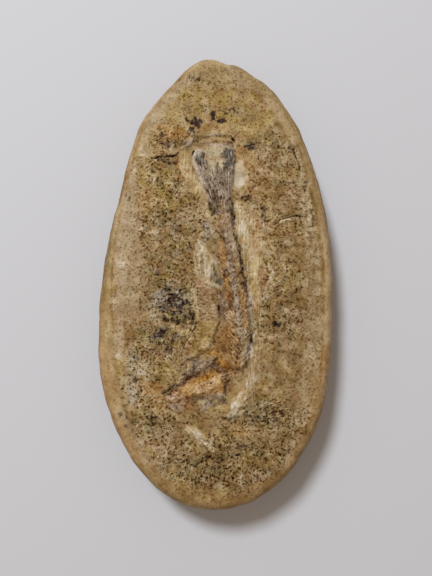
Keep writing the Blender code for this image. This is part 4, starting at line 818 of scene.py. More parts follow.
# near-black lines and specks
ink = [
    # the crack on the right of the face, its dark line painted shade in it
    line(0.95, 0.12, (11.9, 9.3, 0.03), (13.2, 10.35, 0.08), (14.6, 10.8, 0.09), (16.2, 11.05, 0.09),
        (18.2, 11.15, 0.03)),
    line(0.9, 0.15, (-4.9, 24.2, 0.12), (-4.6, 24.9, 0.2)),
    # the crack at the upper left, its dark line painted shade in it
    line(0.85, 0.12, (-13.4, 23.1, 0.02), (-11.7, 23.75, 0.07), (-10, 23.85, 0.09), (-8.5, 23.95, 0.05),
        (-7.7, 24.6, 0.03)),
    line(0.7, 0.12, (-3.4, 27.3, 0.03), (-2.4, 27.8, 0.07), (-1.2, 28, 0.07)),
    line(0.7, 0.15, (3, 28.3, 0.06), (3.7, 27.6, 0.15), (3.9, 26.9, 0.08)),
    line(0.6, 0.12, (-0.4, 28.15, 0.05), (1, 28.3, 0.07), (2.4, 28.35, 0.05)),
    # the second of these runs is painted shade along the outline at the upper left
    *lines(0.5, 0.12, ((-7.7, 25, 0.05), (-6.4, 25.7, 0.07), (-5.4, 26.5, 0.05)),
        ((-14.2, 35.2, 0.03), (-12.7, 37.1, 0.07), (-11, 39.2, 0.07), (-9.6, 41, 0.03))),
    line(0.5, 0.25, (-3.1, 33.1, 0.12), (-2, 34, 0.15)),
    line(0.45, 0.25, (-8.8, 26.5, 0.2), (-7.4, 26.3, 0.15), (-6.2, 26.5, 0.15)),
    line(0.4, 0.3, (-6.2, 40.3, 0.2), (-4, 40, 0.2)), spot(0.9, 0.2, 3.5, 27.6, 0.25, 0.2, 40),
    spot(0.8, 0.15, 1.8, 28.4, 0.15, 0.1),
    *spots(0.5, 0.3, (-11.2, 28.4, 0.6, 0.4), (12.3, 22.8, 0.2, 0.4), (11.9, 28.6, 0.4, 0.3)),
    # the dark, broken margin of the body
    line(0.8, 0.25, (7.25, -12.4, 0.1), (7.1, -13.4, 0.16), (6.95, -14.6, 0.08)),
    line(0.6, 0.15, (3.85, 25.6, 0.06), (4.05, 24.2, 0.09), (3.95, 22.4, 0.06)),
    *lines(0.6, 0.2, ((3.9, 6.5, 0.08), (4.4, 5.8, 0.1), (4.75, 5, 0.08)),
        ((4.95, 2.5, 0.08), (5, 1.6, 0.1)), ((5.95, -2.5, 0.08), (6.25, -3.5, 0.12))),
    *lines(0.5, 0.12, ((2, 25, 0.06), (2.1, 23.4, 0.07)),
        ((3.25, 23.6, 0.07), (3.1, 22.6, 0.07), (3.2, 21, 0.03))),
    line(0.45, 0.12, (2.6, 22.4, 0.05), (2.5, 20.6, 0.05)),
    line(0.4, 0.12, (-3.6, 22.4, 0.05), (-3, 20.4, 0.05)),
    line(0.4, 0.15, (1.5, 22.4, 0.05), (1.9, 21, 0.06)), spot(0.8, 0.2, 4.8, 3.7, 0.18, 0.35),
    *spots(0.75, 0.2, (3.7, 10.9, 0.15, 0.3), (5.3, 0.4, 0.2, 0.3)),
    *spots(0.7, 0.2, (3.2, 11.6, 0.15, 0.35), (5.8, -1.6, 0.15, 0.3)), spot(0.65, 0.2, 3.7, 8.8, 0.12, 0.3),
    *spots(0.6, 0.2, (5.4, -0.6, 0.15, 0.3), (7, -6.4, 0.12, 0.3), (7.1, -7.2, 0.12, 0.3)),
    *spots(0.5, 0.12, (-3, 23.7, 0.2, 0.25), (-3.2, 22, 0.15, 0.2)),
    *spots(0.5, 0.2, (6.6, -4.6, 0.12, 0.3), (4.9, -8.8, 0.12, 0.25)), spot(0.4, 0.2, 7, -8.6, 0.1, 0.3),
    *burst(0.65, -8.6, -5.6, 2.7, 17, 1), *burst(0.5, -7.6, -8.4, 1.3, 9, 4),
    *burst(0.55, -10.9, -4.2, 1.1, 9, 7), *burst(0.6, -11.2, -12.8, 1.3, 11, 2),
    *burst(0.4, 12.4, -10.9, 1.0, 9, 3), *burst(0.6, -4.3, 31.2, 1.0, 11, 5),
    *burst(0.6, -5.0, 29.4, 0.8, 9, 6), *burst(0.5, 7.1, 26.0, 0.8, 9, 8),
    *burst(0.4, 9.6, -8.0, 1.0, 9, 9), *burst(0.4, -9.4, -15.6, 1.2, 9, 10),
    # flesh and gut
    line(0.7, 0.2, (-3.9, -10.5, 0.15), (-4, -11.2, 0.15), (-4.6, -12.2, 0.12), (-5.1, -13.1, 0.08)),
    line(0.6, 0.12, (-5, -13, 0.06), (-6.2, -14.6, 0.08), (-6.9, -16.8, 0.07), (-6.8, -18.6, 0.06),
        (-7.2, -20.4, 0.07), (-7.8, -22.2, 0.08)),
    *lines(0.6, 0.2, ((0.4, -6.9, 0.1), (0.7, -8.3, 0.15), (0.8, -9.4, 0.1)),
        ((-5, -7.2, 0.1), (-5.4, -8.8, 0.12))),
    line(0.55, 0.25, (2.1, 0, 0.15), (1.8, -0.4, 0.18), (1.6, -1.2, 0.06)),
    # this line and the next are painted shadow along the lower right edge of the raised gut beside the body
    line(0.45, 0.2, (1, -10.3, 0.05), (0.5, -11.5, 0.08), (0, -12.7, 0.09), (-0.5, -14.1, 0.08),
        (-0.9, -15.6, 0.06)),
    line(0.4, 0.3, (-0.9, -16.6, 0.06), (-2.2, -17, 0.1), (-3, -17.4, 0.12), (-4, -17.95, 0.12),
        (-4.8, -18.2, 0.1)),
    line(0.35, 0.2, (-4.6, -4.4, 0.05), (-4.9, -6.4, 0.06)), spot(0.85, 0.25, 0.6, -7.6, 0.22, 0.6),
    spot(0.8, 0.2, 0.6, -13.6, 0.15, 0.15), spot(0.75, 0.2, -0.5, -14.5, 0.25, 0.2),
    spot(0.7, 0.2, -4.6, -9.8, 0.25, 0.2),
    *spots(0.5, 0.15, (1.3, -13, 0.15, 0.12), (-1, -7.2, 0.15, 0.12)),
    *spots(0.5, 0.2, (-4.5, -18.1, 0.3, 0.12), (-6.4, -13.6, 0.3, 0.2), (-5.4, -10.6, 0.2, 0.15),
        (-6.3, -9.4, 0.25, 0.12)),
    spot(0.45, 0.15, -2.2, -17, 0.25, 0.08, 15),
    *spots(0.4, 0.15, (-2.6, -5.8, 0.15, 0.12), (-2.3, -7.3, 0.12, 0.12), (-3.5, -16, 0.12, 0.3),
        (-1.2, -6.4, 0.12, 0.1)),
    spot(0.35, 0.15, -1.2, -9.1, 0.15, 0.1),
    # tail
    line(0.85, 0.12, (-10.4, -24.8, 0.06), (-9.6, -24.2, 0.08), (-8.9, -23.6, 0.09), (-8.2, -22.8, 0.04)),
    line(0.6, 0.12, (-10, -25.2, 0.04), (-9.2, -24.7, 0.06), (-8.8, -24.3, 0.04)),
    line(0.55, 0.15, (-10.2, -25.4, 0.06), (-9.8, -26.6, 0.08), (-9, -27.6, 0.1), (-8, -28.4, 0.06)),
    *spots(0.9, 0.15, (-9.2, -30, 0.22, 0.15), (-6.3, -36.4, 0.25, 0.25), (-5.7, -37.4, 0.25, 0.15)),
    spot(0.85, 0.15, -5.7, -30.3, 0.22, 0.2), spot(0.8, 0.15, 2.9, -30.4, 0.18, 0.15),
    spot(0.7, 0.15, 5.5, -29.3, 0.18, 0.15),
    *spots(0.6, 0.15, (-9, -24.9, 0.3, 0.12, 30), (-7.6, -28.3, 0.2, 0.1), (-6.4, -30.4, 0.2, 0.12),
        (2.4, -31.2, 0.15, 0.12)),
    spot(0.55, 0.15, -3, -25.5, 0.4, 0.1, -8), spot(0.5, 0.12, -2.1, -25.9, 0.2, 0.1),
    *spots(0.5, 0.15, (2.3, -22.2, 0.2, 0.15), (1.4, -20.6, 0.2, 0.12), (1.9, -21.6, 0.2, 0.1),
        (-8.5, -31.1, 0.25, 0.1)),
    spot(0.4, 0.15, -0.8, -25, 0.25, 0.1),
    # the ground to the right and left
    line(0.75, 0.15, (15.6, 26.3, 0.05), (16.4, 24.2, 0.1), (16.9, 22.8, 0.08), (17.4, 20.6, 0.05)),
    *spots(0.95, 0.12, (1.4, -41.3, 0.3, 0.15), (3.3, -40.8, 0.22, 0.18)),
    *spots(0.9, 0.12, (0.6, -40.9, 0.2, 0.15), (2.5, -41, 0.18, 0.15), (-1.8, -40.7, 0.2, 0.15),
        (9.95, 10.1, 0.16, 0.12)),
    spot(0.8, 0.12, 7.9, 17.2, 0.16, 0.16),
    *spots(0.8, 0.15, (8.8, -11.1, 0.2, 0.12), (-18.5, -23.6, 0.15, 0.35)),
    *spots(0.7, 0.12, (-3.6, -41.4, 0.2, 0.12), (8.6, -37.9, 0.2, 0.15), (10.4, -37.4, 0.2, 0.15),
        (8.6, 19.9, 0.16, 0.16), (8.7, 23.2, 0.16, 0.12)),
    *spots(0.7, 0.15, (-5.4, 5.4, 0.2, 0.15), (-4.8, 7.7, 0.2, 0.15)),
    spot(0.6, 0.12, 4.4, -38.9, 0.18, 0.12),
    *spots(0.6, 0.15, (-5.5, 2.4, 0.35, 0.12, 30), (-17.4, -25, 0.15, 0.15)),
    spot(0.6, 0.25, 10.2, -7.3, 0.25, 0.15),
    *spots(0.5, 0.15, (-5.9, 4.5, 0.15, 0.12), (-5.3, -0.6, 0.2, 0.15), (-8.2, 10.2, 0.2, 0.15)),
    spot(0.5, 0.25, 10.8, -8.4, 0.15, 0.35), spot(0.4, 0.25, 9.4, -9.5, 0.35, 0.3),
    spot(0.25, 0.3, 12.5, -10.9, 0.4, 0.2),
]

# what stands out of the face or is cut into it; the first number is a height in millimetres
relief = [
    patch(0.42, 0.7, (-4.9, 24.8), (-4.4, 21), (-3.2, 17.4), (-1.6, 14), (-0.6, 12), (3.2, 12.4), (3.4, 17),
        (3.9, 22), (3.9, 25.4), (0, 26)),
    patch(0.55, 0.9, (-4.2, -2.4), (0.2, -4), (0.5, -8), (0.5, -10.4), (-0.4, -13), (-1.6, -16),
        (-4, -17.4), (-6.4, -18.6), (-6.2, -15.4), (-4.4, -12), (-3.5, -9.6), (-3.6, -5)),
    patch(-0.25, 1, (3.9, 20.2), (5.6, 20.2), (6, 18.2), (4.6, 17.2)),
    line(0.6, 0.6, (-7.6, -22.6, 0.2), (-4.8, -20, 0.6), (-2.6, -18.6, 0.8), (-0.2, -17.8, 0.5),
        (2, -19.4, 0.3)),
    line(0.55, 1.1, (0.9, 14, 1), (1.5, 9, 1.1), (2.4, 5, 1.4), (3.2, 0, 1.5), (4, -6, 1.7),
        (4.5, -12, 1.8), (4.2, -18, 1.3)),
    line(-0.5, 0.35, (-10.4, -24.8, 0.1), (-9.3, -24, 0.12), (-8.1, -22.8, 0.1)),
    line(0.5, 0.7, (-8.6, -25.6, 0.5), (-4, -23.6, 1), (-0.6, -22.4, 1.1), (1.2, -22.6, 0.6)),
    line(-0.45, 2.5, (-0.4, 24, 4.5), (0.6, 15, 4), (2, 6, 5), (3, -2, 5.5), (3.4, -12, 5), (0, -21, 5)),
    line(-0.4, 0.25, (-13, 23.1, 0.03), (-11, 23.75, 0.08), (-8.3, 23.85, 0.08), (-7.9, 24.3, 0.03)),
    *lines(-0.4, 0.3, ((11.9, 9.5, 0.03), (13.4, 10.6, 0.08), (15.8, 11.15, 0.08), (18.2, 11.3, 0.03)),
        ((-5, -7.8, 0.1), (-4.2, -10.4, 0.15), (-5.2, -13.2, 0.1))),
    line(-0.35, 0.4, (15.6, 26.3, 0.1), (16.7, 23.4, 0.15), (17.5, 20.4, 0.1)),
    line(-0.35, 1.2, (-10.8, 22.6, 0.5), (-8.6, 22.8, 0.6)),
    *lines(-0.3, 0.3, ((3.6, 12.4, 0.1), (3.8, 8, 0.1), (4.8, 4.6, 0.15), (5.2, 1, 0.15), (6.2, -3, 0.12),
        (7, -8, 0.1), (7.2, -13, 0.15), (6.6, -17, 0.1)),
        ((0.7, -7.6, 0.1), (1, -10.1, 0.1), (-0.4, -13.6, 0.15)),
        ((-3.4, -25.6, 0.2), (-1, -25.2, 0.2), (1.6, -26.2, 0.2))),
    line(0.3, 0.35, (12.6, 9.4, 0.1), (14.3, 10.15, 0.2), (15.6, 10.6, 0.15)),
    *lines(-0.3, 0.5, ((-3.4, 23.2, 0.6), (-3, 22.4, 0.4)), ((2.6, 24.4, 0.7), (2.8, 22.4, 0.5))),
    line(0.3, 0.5, (7.4, -19, 0.4), (6.9, -24.5, 0.5), (4.4, -26, 0.6), (3.4, -28.4, 0.5)),
    line(0.28, 0.3, (-7.6, 25.2, 0.1), (-6, 26.1, 0.2), (-5.2, 27, 0.2), (-4.6, 27.9, 0.3),
        (-2.7, 28.1, 0.15), (-0.9, 28.6, 0.2), (1.8, 28.7, 0.2), (3.4, 28, 0.15)),
    line(-0.25, 0.25, (1.4, -29.7, 0.1), (4.6, -29.2, 0.1)),
    line(0.25, 0.3, (-3.4, 26.5, 0.15), (-0.3, 27.3, 0.2), (3.1, 27.1, 0.2)),
    line(0.22, 0.4, (-5.2, -31.4, 0.2), (-3.4, -32.8, 0.5), (-0.6, -35.6, 0.2)),
    line(-0.2, 0.4, (-4.4, -18.2, 0.15), (-2.6, -17.2, 0.15), (-1.2, -16.5, 0.15)),
    line(0.18, 0.35, (1.1, 12, 0.2), (1.8, 7.9, 0.3), (2.6, 4, 0.3), (3.2, 0, 0.3), (4, -5, 0.3),
        (4.5, -12, 0.3)),
    line(-0.16, 0.3, (-6.6, -22.4, 0.1), (-4, -21.4, 0.15), (-2.4, -20.4, 0.1)),
]
print("marks listed")


def asSeen(red, green, blue):           # a colour as it looks under the studio light, made a surface colour
    faceLight = (1.10, 1.07, 1.09)
    sheen = (0.010, 0.009, 0.003)       # what the rough surface mirrors, whatever its colour
    linear = [((v / 255 + 0.055) / 1.055) ** 2.4 if v > 10 else v / 255 / 12.92 for v in (red, green, blue)]
    return tuple(max(v - less, 0.002) / light for v, less, light in zip(linear, sheen, faceLight)) + (1.0,)


# noise over the stone: size in millimetres, seed, layers
noises = {
    "nick": (2.4, 151, 3),
    "reliefX": (1.3, 5, 3),
    "reliefY": (1.3, 9, 3),
    "swell": (7.0, 21, 3),
    "lumps": (1.1, 33, 3),
    "hollows": (0.9, 47, 2),
    "rimWander": (2.0, 87, 3),
    "grooveGaps": (3.5, 91, 3),
    "edgeGaps": (1.6, 171, 3),
    "markX": (0.9, 61, 3),
    "markY": (0.9, 73, 3),
    "filmEdge": (0.6, 113, 3),
    "speckle": (0.55, 131, 2),
}


def latticeValue(ix, iy, seed):         # a repeatable number from 0 to 1 for each whole-number corner
    mixed = (ix * 374761393 + iy * 668265263 + seed * 1274126177) & 0x7fffffff
    mixed = ((mixed ^ (mixed >> 13)) * 1103515245) & 0x7fffffff
    mixed = ((mixed ^ (mixed >> 16)) * 69069) & 0x7fffffff
    return ((mixed >> 7) & 0xffff) / 65535.0


def softNoise(x, y, size, seed):        # corner values, blended smoothly in each cell, from -1 to 1
    cx, cy = np.floor(x / size), np.floor(y / size)
    fx, fy = x / size - cx, y / size - cy
    sx, sy = fx * fx * (3 - 2 * fx), fy * fy * (3 - 2 * fy)
    ix, iy = cx.astype(np.int64), cy.astype(np.int64)
    low = latticeValue(ix, iy, seed) * (1 - sx) + latticeValue(ix + 1, iy, seed) * sx
    high = latticeValue(ix, iy + 1, seed) * (1 - sx) + latticeValue(ix + 1, iy + 1, seed) * sx
    return (low * (1 - sy) + high * sy) * 2 - 1


def roughNoise(x, y, name):             # layers of soft noise, each half as wide and half as strong
    size, seed, layers = noises[name]
    seedStep = 17
    total, weight = 0.0, 0.0
    for layer in range(layers):
        share = 0.5 ** layer
        total = total + share * softNoise(x, y, size * share, seed + layer * seedStep)
        weight += share
    return total / weight


def smoothStep(low, high, value):       # 0 below the low value, 1 above the high one, 3s^2 - 2s^3 between
    share = np.clip((value - low) / (high - low), 0.0, 1.0)
    return share * share * (3 - 2 * share)


def nearestOnPath(x, y, points):        # gap to an open run of points, width there, distance gone, side
    gap, width, gone, side = (np.full(x.shape, v) for v in (1e9, 0.0, 0.0, 1.0))
    travelled = 0.0
    for (ax, ay, aw), (bx, by, bw) in zip(points, points[1:]):
        dx, dy = bx - ax, by - ay
        length = math.hypot(dx, dy)
        share = np.clip(((x - ax) * dx + (y - ay) * dy) / length ** 2, 0.0, 1.0)
        here = np.hypot(x - ax - dx * share, y - ay - dy * share)
        closer = here < gap
        gap = np.where(closer, here, gap)
        width = np.where(closer, aw + (bw - aw) * share, width)
        gone = np.where(closer, travelled + length * share, gone)
        side = np.where(closer, np.sign((x - ax) * dy - (y - ay) * dx), side)
        travelled += length
    return gap, width, gone, side


def insideDepth(x, y, corners):         # distance inside a closed run of corners, negative outside it
    gap, inside = np.full(x.shape, 1e9), np.zeros(x.shape, bool)
    for (ax, ay), (bx, by) in zip(corners, corners[1:] + corners[:1]):
        dx, dy = bx - ax, by - ay
        share = np.clip(((x - ax) * dx + (y - ay) * dy) / (dx * dx + dy * dy), 0.0, 1.0)
        gap = np.minimum(gap, np.hypot(x - ax - dx * share, y - ay - dy * share))
        crosses = ((ay > y) != (by > y)) & (x < ax + dx * (y - ay) / (dy if dy else 1e-9))
        inside ^= crosses
    return np.where(inside, gap, -gap)


def markShape(x, y, mark):              # 1 inside the mark, falling to 0 over its soft edge
    kind, _, soft, data = mark
    if kind == "line":
        gap, width, _, _ = nearestOnPath(x, y, data)
        return 1 - smoothStep(width, width + soft, gap)
    if kind == "spot":
        px, py, rx, ry, turn = data
        c, s = math.cos(math.radians(turn)), math.sin(math.radians(turn))
        u, v = (x - px) * c + (y - py) * s, (y - py) * c - (x - px) * s
        reach = np.hypot(u / rx, v / ry)
        return 1 - smoothStep(1.0, 1.0 + soft / math.sqrt(rx * ry), reach)
    return smoothStep(-soft / 2, soft / 2, insideDepth(x, y, data))


def layerMask(x, y, marks):             # the strongest mark at each point
    mask = np.zeros(x.shape)
    for mark in marks:
        mask = np.maximum(mask, mark[1] * markShape(x, y, mark))
    return mask


def paintedFilm(x, y):      # each mark laid over those before it, its edge broken by noise: colour and cover
    colour, cover = np.zeros((len(x), 3)), np.zeros(len(x))
    grainy = 0.5 + 0.55 * roughNoise(x, y, "filmEdge")
    speckle = np.clip(0.5 + 0.9 * roughNoise(x, y, "speckle"), 0, 1)
    speckleCover, speckleEdge, speckleReach = 0.9, 0.24, 1.12
    for tint, ragged, marks in film:
        tone = np.array(asSeen(*tints[tint])[:3])
        for mark in marks:
            shape = markShape(x, y, mark)
            if ragged < 1:
                share = mark[1] * np.clip((shape - ragged * grainy) / (1 - ragged), 0, 1)
            else:                       # speckled: the strength is the share of the ground that is covered
                reached = shape * mark[1] * speckleReach - speckle
                share = speckleCover * smoothStep(0.0, speckleEdge, reached)
            colour = colour * (1 - share[:, None]) + tone * share[:, None]
            cover = 1 - (1 - cover) * (1 - share)
    bare = np.array(stoneLook["ground"][:3])
    return np.where(cover[:, None] > 1e-4, colour / np.maximum(cover, 1e-4)[:, None], bare), cover


# a smooth closed curve through the outline's points (Catmull-Rom), and the share of its length at each point
def outlineCurve():
    steps = 24
    points = np.array(outline)
    t = np.linspace(0, 1, steps, endpoint=False)[:, None, None]
    before, here, there, after = (np.roll(points, k, axis=0)[None] for k in (1, 0, -1, -2))
    curve = 0.5 * (
        2 * here + (there - before) * t + (2 * before - 5 * here + 4 * there - after) * t ** 2
        + (3 * here - before - 3 * there + after) * t ** 3)
    curve = curve.transpose(1, 0, 2).reshape(-1, points.shape[1])
    closed = np.vstack([curve, curve[:1]])
    length = np.concatenate([[0], np.cumsum(np.hypot(*np.diff(closed[:, :2], axis=0).T))])
    return closed, length / length[-1]


curvePoints, curveShares = outlineCurve()


def edgeValue(share, column):           # one column of the outline at a share of its length
    return np.interp(share % 1.0, curveShares, curvePoints[:, column])


def edgePlace(share):                   # the curve, nicked outwards and inwards a little
    x, y = edgeValue(share, 0), edgeValue(share, 1)
    size = np.hypot(x, y / 2)
    nick = stoneForm["nicks"] * roughNoise(x, y, "nick")
    return x + nick * x / size, y + nick * y / 2 / size


def edgeOutward(share):                 # outward direction there, evened out over small dents
    reach = stoneForm["directionReach"]
    ax, ay = edgePlace(share - reach)
    bx, by = edgePlace(share + reach)
    size = np.hypot(bx - ax, by - ay)
    return (by - ay) / size, -(bx - ax) / size


# a grid corner's ring, counted in from the edge, its share of the outline and its place on the middle line:
# each ring is a rectangle of the grid, and its four sides share the outline as their lengths do
def ringPlace(i, j, nx, ny):
    ring = np.minimum(np.minimum(i, nx - i), np.minimum(j, ny - j))
    across, up = np.maximum(nx - 2 * ring, 1), np.maximum(ny - 2 * ring, 1)
    side = ny / (2 * (nx + ny))
    end = 0.5 - side
    right, left, top = i == nx - ring, i == ring, j == ny - ring
    gone = side * (j - ring) / up
    share = np.select(
        [right, left, top],
        [end / 2 + gone, 1 - end / 2 - gone, end / 2 + side + end * (nx - ring - i) / across],
        end * (i - ring) / across - end / 2)
    along = np.select([right | left, top], [(j - ring) / up, np.ones(i.shape)], 0.0)
    return ring, share % 1.0, along


def middleLine(along):                  # straight from the low end to the high one
    return stoneForm["middleLow"] + (stoneForm["middleHigh"] - stoneForm["middleLow"]) * along


def faceHeight(x, y, inward, rimWidth, groove):     # slow waves, the fish's relief, small lumps, the groove
    form = stoneForm
    warpX = x + form["reliefWarp"] * roughNoise(x, y, "reliefX")
    warpY = y + form["reliefWarp"] * roughNoise(x, y, "reliefY")
    waves = form["waves"] * np.sin(x / form["wavesAcross"]) * np.cos(y / form["wavesAlong"])
    height = form["face"] + waves + form["swell"] * roughNoise(x, y, "swell")
    for mark in relief:
        height = height + mark[1] * markShape(warpX, warpY, mark)
    smooth = layerMask(x, y, calm)
    past = inward - rimWidth + form["rimWander"] * roughNoise(x, y, "rimWander")
    rough = smoothStep(-0.2, 0.6, past) * (1 - form["calmed"] * smooth)
    hollows = smoothStep(0.35, 0.8, roughNoise(x, y, "hollows"))
    lumps = roughNoise(x, y, "lumps") - form["hollows"] * hollows
    height = height + form["lumps"] * lumps * rough
    broken = groove * smoothStep(-0.6, 0.3, roughNoise(x, y, "grooveGaps"))
    return height - form["grooveDepth"] * broken * np.exp(-(past / form["grooveWidth"]) ** 2)


# a grid corner's place and level, its distance in from the widest line and its share of the outline:
# a rounded shoulder over the first rings, then straight to the middle line at the level of the face
def frontSurface(i, j):
    form = stoneForm
    ring, share, along = ringPlace(i, j, form["across"], form["along"])
    edgeX, edgeY = edgePlace(share)
    outX, outY = edgeOutward(share)
    rings, width = form["shoulderRings"], form["shoulderWidth"]
    turn = np.clip(ring / rings, 0, 1) * math.pi / 2
    inset = width * (1 - np.cos(turn) ** form["shoulderCurl"])
    deeper = np.clip((ring - rings) / (form["across"] / 2 - rings), 0, 1)
    innerX, innerY = edgeX - outX * inset, edgeY - outY * inset
    x = innerX * (1 - deeper)
    y = innerY + (middleLine(along) - innerY) * deeper
    inward = inset + np.hypot(x - innerX, y - innerY)
    face = faceHeight(x, y, inward, edgeValue(share, 2), edgeValue(share, 3))
    level = form["belly"] + (face - form["belly"]) * np.sin(turn) ** form["shoulderCurl"]
    return x, y, level, inward, share


def backSurface(share, along, depth):   # a quarter oval, then flat: depth 0 at the widest line, 1 midway
    edgeX, edgeY = edgePlace(share)
    depth = np.zeros(share.shape) + depth
    x, y = edgeX * (1 - depth), edgeY + (middleLine(along) - edgeY) * depth
    turn = np.clip(1 - depth / stoneForm["backInset"], 0, 1)
    level = stoneForm["belly"] * (1 - np.sqrt(1 - turn ** 2))
    return x, y, level


def gridCorners(nx, ny):                # the two whole numbers of each corner of a grid
    i, j = np.meshgrid(np.arange(nx + 1), np.arange(ny + 1), indexing="ij")
    return i.ravel(), j.ravel()


def edgeLoop(nx, ny):                   # a grid's edge corners, anticlockwise from the low left one
    at = np.arange((nx + 1) * (ny + 1)).reshape(nx + 1, ny + 1)
    return np.concatenate([at[:nx, 0], at[nx, :ny], at[nx:0:-1, ny], at[0, ny:0:-1]])


def gridFaces(nx, ny, flip):            # quads between the corners of a grid
    at = np.arange((nx + 1) * (ny + 1)).reshape(nx + 1, ny + 1)
    a, b, c, d = at[:-1, :-1].ravel(), at[1:, :-1].ravel(), at[1:, 1:].ravel(), at[:-1, 1:].ravel()
    return np.stack([a, d, c, b] if flip else [a, b, c, d], axis=1)


def wallFaces(upper, lower):            # quads between two loops of the same count, facing out
    return np.stack([lower, np.roll(lower, -1), np.roll(upper, -1), upper], axis=1)


def halvingFaces(upper, lower):         # triangles from a loop to one with half its points
    nextLower, middle, nextUpper = np.roll(lower, -1), upper[1::2], np.roll(upper[::2], -1)
    return np.concatenate([
        np.stack([lower, middle, upper[::2]], axis=1),
        np.stack([lower, nextLower, middle], axis=1),
        np.stack([nextLower, nextUpper, middle], axis=1)])


# the front's grid, then rings down the side and a coarser grid that closes the back. It gives the points, for
# each point of the front its distance past the smooth edge, its groove and its distance in, and the faces
def buildStone():
    form = stoneForm
    nx, ny = form["across"], form["along"]
    i, j = gridCorners(nx, ny)
    x, y, z, inward, share = frontSurface(i, j)
    along = ringPlace(i, j, nx, ny)[2]
    count = len(x)
    past = inward - edgeValue(share, 2)
    groove = edgeValue(share, 3)
    loop = edgeLoop(nx, ny)
    loopShare, loopAlong = share[loop], along[loop]
    pieces = [np.stack([x, y, z], axis=1)]
    quads, triangles = [gridFaces(nx, ny, False)], []
    step = 1
    for depth in form["sideRings"]:
        halved = depth in form["halvedRings"]
        step *= 2 if halved else 1
        ringPoints = np.stack(backSurface(loopShare[::step], loopAlong[::step], depth), axis=1)
        ringIds = count + np.arange(len(ringPoints))
        if halved:
            triangles.append(halvingFaces(loop, ringIds))
        else:
            quads.append(wallFaces(loop, ringIds))
        pieces.append(ringPoints)
        loop, count = ringIds, count + len(ringPoints)
    backX, backY = nx // step, ny // step
    i, j = gridCorners(backX, backY)
    ring, share, along = ringPlace(i, j, backX, backY)
    depth = depth + (1 - depth) * ring / (backX / 2)
    inside = ring > 0
    ids = np.zeros(len(ring), int)
    ids[inside] = count + np.arange(inside.sum())
    ids[edgeLoop(backX, backY)] = loop
    quads.append(ids[gridFaces(backX, backY, True)])
    pieces.append(np.stack(backSurface(share, along, depth), axis=1)[inside])
    points, quads, triangles = (np.concatenate(part) for part in (pieces, quads, triangles))
    return points, past, groove, inward, quads, triangles


def stoneMesh():                        # the surface made a mesh, with its marks and its flat sheet
    points, past, groove, inward, quads, triangles = buildStone()
    mesh = bpy.data.meshes.new("fossilStone")
    mesh.vertices.add(len(points))
    moved = points + np.array([0.0, stoneForm["forward"], 0.0])
    mesh.vertices.foreach_set("co", (moved * mm).astype(np.float32).ravel())
    corners = np.concatenate([quads.ravel(), triangles.ravel()])
    starts = np.concatenate([np.arange(len(quads)) * 4, len(quads) * 4 + np.arange(len(triangles)) * 3])
    mesh.loops.add(len(corners))
    mesh.loops.foreach_set("vertex_index", corners.astype(np.int32))
    mesh.polygons.add(len(starts))
    mesh.polygons.foreach_set("loop_start", starts.astype(np.int32))
    mesh.update(calc_edges=True)
    mesh.validate()
    mesh.shade_smooth()
    storeMarks(mesh, points, past, groove, inward)
    layUv(mesh, points, corners, starts, len(inward))
    return mesh


def addValue(mesh, name, values):       # one number kept at each point of the mesh
    layer = mesh.attributes.new(name, "FLOAT", "POINT")
    layer.data.foreach_set("value", values.astype(np.float32))


# the strength of every mask at each point: marks only on the front, a smooth rim, a dark line of painted
# shade in its groove and a broken line of painted shade at the widest level
def storeMarks(mesh, points, past, groove, inward):
    form = stoneForm
    # down the steep side the marks are read further and further out, so that none becomes a stripe
    drop = np.maximum(form["belly"] + form["sideMarks"] - points[:, 2], 0.0)
    outX, outY = points[:, 0], points[:, 1] / 4     # outward on an oval twice as long as it is wide
    size = np.maximum(np.hypot(outX, outY), 1e-6)
    x, y = points[:, 0] + outX / size * drop, points[:, 1] + outY / size * drop
    front = len(inward)
    onFront = np.arange(len(points)) < front
    warpX = x + form["markWarp"] * roughNoise(x, y, "markX")
    warpY = y + form["markWarp"] * roughNoise(x, y, "markY")
    masks = dict(zones, ink=ink, calm=calm, light=light, shade=shade, onHead=onHead, onBody=onBody)
    masks.update((name, streak["marks"]) for name, streak in streaks.items())
    for name, marks in masks.items():
        addValue(mesh, name, layerMask(warpX, warpY, marks) * onFront)
    colour, cover = paintedFilm(warpX, warpY)
    addValue(mesh, "filmCover", cover * onFront)
    layer = mesh.attributes.new("filmColour", "FLOAT_VECTOR", "POINT")
    layer.data.foreach_set("vector", colour.astype(np.float32).ravel())

    # painted shade: a broken dark line in the groove inside the smooth edge
    faceX, faceY = x[:front], y[:front]
    past = past + form["rimWander"] * roughNoise(faceX, faceY, "rimWander")
    rim, grooveShade = np.ones(len(points)), np.zeros(len(points))
    rim[:front] = 1 - smoothStep(-0.35, 0.45, past)
    broken = groove * smoothStep(-0.6, 0.3, roughNoise(faceX, faceY, "grooveGaps"))
    grooveShade[:front] = broken * np.exp(-(past / form["grooveShade"]) ** 2)
    addValue(mesh, "rim", rim)
    # painted shade: a broken dark line where the stone is widest and turns under, fading down the side
    halfWidth, halfLength = form["halfSize"]
    reach = np.hypot(points[:, 0] / halfWidth, (points[:, 1] + form["forward"]) / halfLength)
    gapIn = form["backReach"] * (1 - reach)
    gapIn[:front] = inward
    fadeStart, fadeEnd, faded = form["edgeFade"]
    faint = 1 - faded * smoothStep(fadeStart, fadeEnd, drop)
    broken = smoothStep(-0.3, 0.5, roughNoise(x, y, "edgeGaps")) * faint
    addValue(mesh, "widestLineShade", broken * np.exp(-(np.maximum(gapIn, 0) / form["edgeShadeWidth"]) ** 2))
    addValue(mesh, "paintedGrooveShade", grooveShade)
    gap, half, gone, side = nearestOnPath(x, y, backbone)
    addValue(mesh, "fishAlong", gone)
    addValue(mesh, "fishAcross", gap * side / np.maximum(half, 0.1))


# the flat sheet that the stone's surface is laid out on, in millimetres
sheet = {"side": 118.0, "middle": (30.0, 57.5), "reach": (25.0, 48.5), "spread": 0.16}


